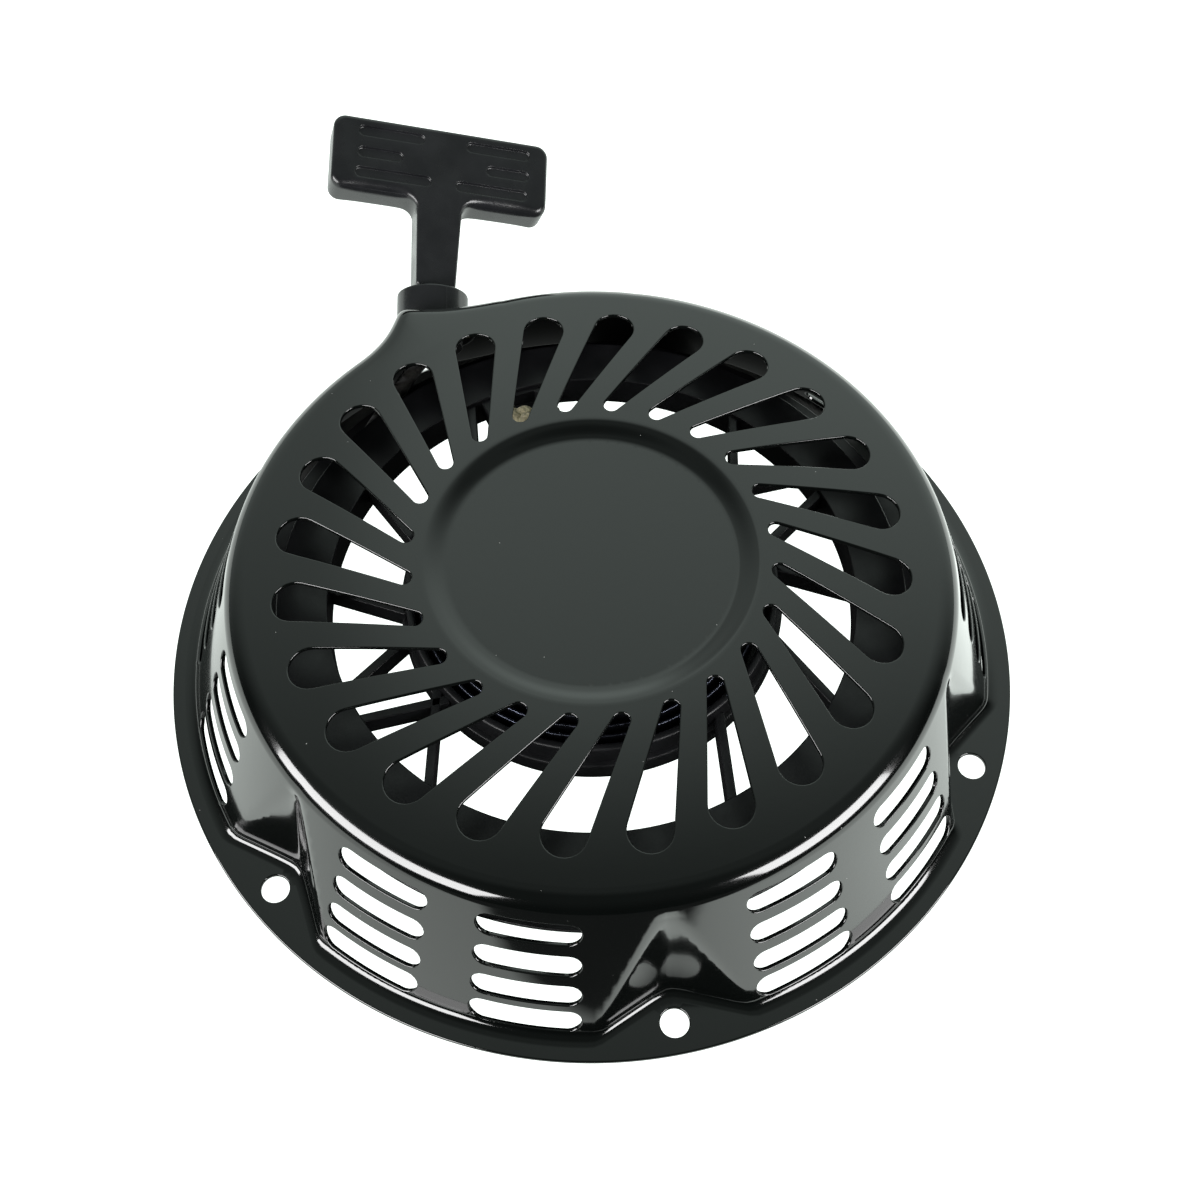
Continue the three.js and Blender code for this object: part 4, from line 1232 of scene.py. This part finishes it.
def spring_piece():
    """The flat recoil spring in its cup, hooked to the post and to the cup's wall."""
    turns, thickness = 11, 0.75
    inner, outer = POST_RADIUS + 1.2, CUP_RADIUS - CUP_WALL - 0.9
    steps = turns * 56
    share = np.linspace(0, 1, steps + 1)
    turn = math.radians(90) - TAU * turns * share
    radius = inner + (outer - inner) * share ** 0.86
    around = np.stack([np.cos(turn), np.sin(turn)], 1)
    low, high, soft = 22.2, 31.6, 0.12
    section = ((0.5, low + soft), (0.5, high - soft), (0, high),
               (-0.5, high - soft), (-0.5, low + soft), (0, low))
    made = Build()
    rows = []
    for aside, z in section:
        row = (radius + aside * thickness)[:, None] * around
        rows.append(made.loop(np.column_stack([row, np.full(steps + 1, z)])))
    for a, b in zip(rows, rows[1:] + rows[:1]):
        made.faces += [(a[i], a[i + 1], b[i + 1], b[i]) for i in range(steps)]
    made.faces += [tuple(row[0] for row in rows), tuple(row[-1] for row in rows[::-1])]
    made.add(*bar((0, 7.2), (0, inner), 0.8, low, high, 0.12))
    return made.piece("recoil_spring_coil")


def wound_rope_piece():
    """Two and a quarter turns of cord in the reel's groove, beginning at the knot pocket."""
    turns = 2.3
    low, high = REEL_LOW + REEL_FLANGE + ROPE_RADIUS + 0.15, REEL_HIGH - REEL_FLANGE - ROPE_RADIUS - 0.15
    first = REEL_ROOT + ROPE_RADIUS + 0.1
    last = LEAD_REEL_RADIUS - ROPE_RADIUS - 0.4
    share = np.linspace(0, 1, int(turns * 96))
    angle = math.radians(150) - TAU * turns * share
    swing = 0.5 - 0.5 * np.cos(share * turns * math.pi)
    z = low + (high - low) * swing
    r = first + (last - first) * smoothstep(0.35, 0.8, share)
    points = np.stack([r * np.cos(angle), r * np.sin(angle), z], 1)
    return mesh_object("rope_turns", *swept(points, ROPE_RADIUS * 0.97, 14))


def knot(size, radius, lift=0.75):
    """A tight overhand knot about the origin, with a short tail."""
    t = np.linspace(0, TAU, 90, endpoint=False)
    shape = np.stack([np.sin(t) + 2 * np.sin(2 * t), np.cos(t) - 2 * np.cos(2 * t), -lift * np.sin(3 * t)], 1)
    shape *= size / 3.0
    made = Build()
    tangent = unit(np.roll(shape, -1, 0) - np.roll(shape, 1, 0))
    turn = np.linspace(0, TAU, 14, endpoint=False)
    rings = []
    for point, ahead in zip(shape, tangent):
        side = unit(np.cross(ahead, [0.05, 0.02, 1.0]))
        up = np.cross(ahead, side)
        rings.append(made.loop(point + radius * (np.cos(turn)[:, None] * side + np.sin(turn)[:, None] * up)))
    made.bridge(*rings, rings[0])
    return np.array(made.vertices), made.faces


def frayed_end(points, radius):
    """A short end of cord that gets thinner."""
    return swept(points, radius * np.linspace(1, 0.86, len(points)), 12)


def reel_knot_piece():
    x, y = polar(KNOT_PLACE, KNOT_ANGLE)
    vertices, faces = knot(2.5, 1.55)
    made = Build()
    made.add(vertices + [x, y, 27.9], faces)
    tail = np.array([[1, -1, 29.0], [4, -1.2, 29.8], [7.5, -0.4, 30.0], [10.5, 0.6, 29.7]]) + [x, y, 0]
    made.add(*frayed_end(smooth_path(tail, 16), 1.3))
    return made.piece("reel_knot")


def smooth_path(points, count):
    """A Catmull-Rom curve through the points, resampled evenly enough for a tube."""
    points = np.asarray(points, float)
    ends = np.concatenate([[2 * points[0] - points[1]], points, [2 * points[-1] - points[-2]]])
    result = []
    for i in range(1, len(ends) - 2):
        p0, p1, p2, p3 = ends[i - 1:i + 3]
        for t in np.linspace(0, 1, max(2, count // (len(points) - 1)), endpoint=False):
            result.append(0.5 * (2 * p1 + (p2 - p0) * t + (2 * p0 - 5 * p1 + 4 * p2 - p3) * t * t
                                 + (3 * p1 - p0 - 3 * p2 + p3) * t ** 3))
    return np.array(result + [points[-1]])


def rope_lead_piece():
    """The stretch of rope from the reel, through the collar, into the handle."""
    mouth, out, stem = (on_line(along) for along in (85.0, 90.0, STEM_START))
    leaving = math.atan2(mouth[1], mouth[0]) + math.acos(LEAD_REEL_RADIUS / math.hypot(mouth[0], mouth[1]))
    start = np.array([*polar(LEAD_REEL_RADIUS, math.degrees(leaving)), 25.4])
    yaw = math.radians(HANDLE_YAW)
    deep = POCKET_START + 1.4 - STEM_START
    end = on_line(STEM_START + deep * math.cos(yaw), -deep * math.sin(yaw))
    in_case = start + (mouth - start) * np.linspace(0, 0.93, 30)[:, None]
    t = np.linspace(0.08, 1, 10)[:, None]
    bend = (1 - t) ** 2 * in_case[-1] + 2 * t * (1 - t) * mouth + t * t * out
    straight = out + (stem - out) * np.linspace(0.1, 1, 10)[:, None]
    inside_handle = stem + (end - stem) * np.linspace(0.02, 1, 60)[:, None]
    path = np.concatenate([in_case, bend, straight, inside_handle])
    return mesh_object("rope_stretch", *swept(path, ROPE_RADIUS * 0.97, 18))


def handle_knot_piece():
    vertices, faces = knot(2.2, 1.4, lift=0.8)
    made = Build()
    made.add(on_handle(along_y(vertices) + [0, POCKET_START + 5.4, 0]), faces)
    tail = np.array([[0.3, 141.2, 0.9], [0.7, 143.3, 1.2], [1.0, 145.2, 1.0], [1.2, 147.0, 0.7]])
    vertices, faces = frayed_end(smooth_path(tail, 15), 1.3)
    made.add(on_handle(vertices), faces)
    return made.piece("handle_knot")


def washer_profile(inner, outer, low, high, soft):
    return rounded([(inner, high), (outer, high), (outer, low), (inner, low)], [soft] * 4, 3)


def handle_washer_piece():
    start = POCKET_START + GAP
    profile = washer_profile(ROPE_RADIUS + 0.6, POCKET_RADIUS - GAP, start, start + 1.4, 0.3)
    vertices, faces = turned(profile, 48)
    return mesh_object("knot_washer", on_handle(along_y(vertices)), faces)


# ---------- post, ratchets and guide ----------

POST_LOW = 7.2
POST_NECK_RADIUS = 8.4
POST_NECK_TOP = 12
POST_PLATE_RADIUS = 22
POST_PLATE_TOP = 41.7
SCREW_ROOM = 3.3
RATCHET_LOW = 13.0
RATCHET_HIGH = 16.9
RATCHET_PEG = (-6, -9)
PEG_RADIUS = 2.2
PEG_LOW = 9.7
PEG_SHANK = 1.2
RATCHET_SWING = 30
GUIDE_TURN = 25
GUIDE_LOW = 10.4
GUIDE_HIGH = 11.9
GUIDE_RADIUS = 32.5
GUIDE_BORE = 12.8


def post_piece():
    profile = rounded(
        [(0, POST_PLATE_TOP), (POST_PLATE_RADIUS, POST_PLATE_TOP), (POST_PLATE_RADIUS, POST_PLATE_TOP - 1.5),
         (13, POST_PLATE_TOP - 1.5), (POST_RADIUS, POST_PLATE_TOP - 4.5), (POST_RADIUS, POST_NECK_TOP),
         (POST_NECK_RADIUS, POST_NECK_TOP), (POST_NECK_RADIUS, POST_LOW),
         (SCREW_ROOM, POST_LOW), (SCREW_ROOM, 28), (0, 28)],
        [0.01, 0.5, 0.5, 1.0, 1.0, 0.4, 0.2, 0.6, 0.4, 0.01, 0.01], 3)
    return mesh_object("centre_stud", *turned(on_axis(profile)[::-1], 96))


def ratchet_piece(half, number):
    pivot, tip = (PIVOT_DISTANCE, 0), (PIVOT_DISTANCE - 4, -21.5)
    peg = (PIVOT_DISTANCE + RATCHET_PEG[0], RATCHET_PEG[1])
    shape = [
        (31.2, 2.2), (28.6, 5.2), (23.6, 5.1), (20.6, 1.6), (16.9, -8.2), (18.3, -12.2), (19.9, -15.5),
        (20.5, -19.5), (20.9, -24.1), (26.6, -24.5), (25.4, -18.4), (25.2, -12.0), (31.3, -2.0)]
    outline = spaced(rounded(shape[::-1], [1.6] * 8 + [1.4] * 5, 4), 0.9)
    if area_sign(outline) < 0:
        outline = outline[::-1]
    bore = circle(pivot, PIVOT_RADIUS + GAP, 32)
    pin = circle(peg, PEG_SHANK + GAP, 20)
    vertices, faces = slab(outline, RATCHET_LOW, RATCHET_HIGH, 0.35, 0.35, holes=[bore, pin])
    return mesh_object(f"ratchet_pawl_{number}", moved(vertices, half), faces)


def area_sign(outline):
    x, y = outline.T
    return float((x * np.roll(y, -1) - y * np.roll(x, -1)).sum())


def peg_piece(half, number):
    profile = rounded(
        [(0, RATCHET_HIGH - GAP), (PEG_SHANK, RATCHET_HIGH - GAP), (PEG_SHANK, RATCHET_LOW - GAP),
         (PEG_RADIUS, RATCHET_LOW - GAP), (PEG_RADIUS, PEG_LOW), (0, PEG_LOW)],
        [0.01, 0.3, 0.1, 0.3, 0.5, 0.01], 3)
    centre = moved([[PIVOT_DISTANCE + RATCHET_PEG[0], RATCHET_PEG[1], 0]], half)[0][:2]
    return mesh_object(f"ratchet_pin_{number}", *turned(on_axis(profile), 32, centre))


def ratchet_spring_piece(half, number):
    """A torsion spring of round wire about the pivot, with a leg each way."""
    wire, turns = 0.42, 2.0
    low, high = 17.3 + wire, 19.1 - wire
    t = np.linspace(0, 1, 60)
    angle = math.radians(160) + TAU * turns * t
    radius = PIVOT_RADIUS + 1.0
    rise = low + (high - low) * t
    coil = np.stack([PIVOT_DISTANCE + radius * np.cos(angle), radius * np.sin(angle), rise], 1)
    leg_out = np.array([[33.4, 4.0, high], [30.0, 4.4, high], [26.6, 4.5, high]])
    leg_in = np.array([[21.1, -12.0, low], [21.5, -6.0, low], [21.6, -1.5, low]])
    path = smooth_path(np.concatenate([leg_in, coil[::2], leg_out[::-1]]), 400)
    vertices, faces = swept(path, wire, 10)
    return mesh_object(f"pawl_spring_{number}", moved(vertices, half), faces)


def peg_on_guide(share):
    swing, turn = RATCHET_SWING * share, -GUIDE_TURN * share
    peg = moved([[*RATCHET_PEG, 0]], swing)[0] + [PIVOT_DISTANCE, 0, 0]
    return moved([peg], turn)[0][:2]


def guide_piece():
    """The pressed guide: cam slots for the ratchets' pins, lightening windows and a drawn collar."""
    radius = PEG_RADIUS + 0.5
    holes = []
    for half in (0, 180):
        centres = np.array([peg_on_guide(s) for s in np.linspace(-0.02, 1.02, 9)])
        along = unit(np.gradient(centres, axis=0))
        side = np.stack([-along[:, 1], along[:, 0]], 1) * radius
        first = math.degrees(math.atan2(*side[0][::-1]))
        last = math.degrees(math.atan2(*(-side[-1])[::-1]))
        cap_a, cap_b = (
            [centre + polar(radius, start + 22.5 * k) for k in range(1, 8)]
            for centre, start in ((centres[0], first), (centres[-1], last)))
        outline = np.concatenate([centres + side, cap_b[::-1], (centres - side)[::-1], cap_a[::-1]])
        holes.append(outline)
        holes.append(capsule((24.5, 9), 3.2, (17.5, 21), 3.2 - 1e-6, 8, 5))
    placed = []
    for i, hole in enumerate(holes):
        half = 180 * (i // 2)
        turned_hole = moved(np.column_stack([hole, np.zeros(len(hole))]), half)[:, :2]
        placed.append(turned_hole if area_sign(turned_hole) > 0 else turned_hole[::-1])
    bore = circle((0, 0), GUIDE_BORE, 72)
    outline = circle((0, 0), GUIDE_RADIUS, 144)
    made = Build()
    made.add(*slab(outline, GUIDE_LOW, GUIDE_HIGH, 0.3, 0.3, holes=[bore, *placed]))
    collar = rounded([(15, GUIDE_LOW + 0.4), (16.2, GUIDE_LOW + 0.4), (16.2, POST_LOW), (15, POST_LOW)],
                     [0.1, 0.1, 0.45, 0.45], 3)
    made.add(*turned(collar, 96))
    return made.piece("guide_plate")


def friction_spring_piece():
    wire = 0.72
    angle = np.radians(np.linspace(14, 346, 110))
    ring = np.stack([17.25 * np.cos(angle), 17.25 * np.sin(angle), np.full(110, 8.55)], 1)
    tail = np.array([[24.0, 5.2, 8.55], [21.5, 4.6, 8.55], [19.2, 4.2, 8.55]])
    path = np.concatenate([smooth_path(np.concatenate([tail, ring[:2]]), 30)[:-2], ring])
    return mesh_object("friction_clip", *swept(path, wire, 12))


def thrust_washer_piece():
    profile = washer_profile(POST_RADIUS + GAP + 0.1, 16, GUIDE_HIGH + GAP, BOSS_LOW - GAP, 0.2)
    return mesh_object("thrust_ring", *turned(profile, 96))


def friction_plate_piece():
    profile = washer_profile(SCREW_ROOM, 19.5, 5.6, POST_LOW - GAP, 0.45)
    return mesh_object("friction_disc", *turned(profile, 120))


def screw_piece():
    """A flanged hexagon screw with a chamfered head."""
    made = Build()
    hexagon = np.array([polar(5.8, 60 * i) for i in range(6)])
    made.add(*slab(spaced(rounded(hexagon, [1.0] * 6, 4), 1.2), 0.9, 4.4, 0.6, 0.2))
    flange = rounded([(0, 5.3), (9, 5.3), (9, 4.6), (6.2, 3.8), (0, 3.8)], [0.01, 0.2, 0.25, 0.5, 0.01], 3)
    made.add(*turned(on_axis(flange), 72))
    pitch, low, high = 1.0, 5.2, 26.0
    rows = [(0, high), (2.4, high)]
    z = high - 0.5
    while z > low + 1:
        rows += [(3.0, z), (3.0, z - 0.12), (2.5, z - pitch / 2), (2.5, z - pitch / 2 - 0.12)]
        z -= pitch
    rows += [(3.0, low), (0, low)]
    made.add(*turned(rows, 36))
    return made.piece("hub_screw")


reel_plastic = moulded("reel_plastic", (0.0040, 0.0042, 0.0048), (0.0080, 0.0084, 0.0096), 0.40, 0.00006, 34)
steel = metal("steel", (0.58, 0.58, 0.59), 0.3)
spring_steel = metal("spring_steel", (0.11, 0.12, 0.15), 0.3, (1, 1, 12), 0.1)
zinc = metal("zinc_steel", (0.70, 0.60, 0.36), 0.3)
rope = braid("rope")
rope_run = braid("rope_run", (ROPE_X, SEAT_Y, ROPE_Z))

dressed(reel_piece(), reel_plastic, "reel", "reel_plastic", "reel")
dressed(spring_piece(), spring_steel, "reel", "spring_steel", "recoil_spring")
dressed(wound_rope_piece(), rope, "reel", "rope", "wound_rope")
dressed(reel_knot_piece(), rope, "reel", "rope", "reel_rope_knot")
dressed(post_piece(), steel, "case", "steel", "centre_post")
for number, half in ((1, 0), (2, 180)):
    body = f"ratchet_{number}"
    dressed(ratchet_piece(half, number), steel, body, "steel", body)
    dressed(peg_piece(half, number), steel, body, "steel", f"ratchet_peg_{number}")
    leg_spring = ratchet_spring_piece(half, number)
    dressed(leg_spring, spring_steel, "reel", "spring_steel", f"ratchet_spring_{number}")
dressed(guide_piece(), zinc, "guide", "zinc_steel", "ratchet_guide")
dressed(friction_spring_piece(), spring_steel, "guide", "spring_steel", "friction_spring")
dressed(thrust_washer_piece(), steel, "reel", "steel", "thrust_washer")
dressed(friction_plate_piece(), steel, "case", "steel", "friction_plate")
dressed(screw_piece(), zinc, "case", "zinc_steel", "centre_screw")
dressed(handle_knot_piece(), rope, "handle", "rope", "handle_rope_knot")
dressed(handle_washer_piece(), steel, "handle", "steel", "handle_washer")
lead = dressed(rope_lead_piece(), rope_run, None, "rope", "rope_lead")
blend_start, blend_end = (tuple(float(v) * MM for v in on_line(along)) for along in (98.5, POCKET_START - 1))
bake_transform(lead)
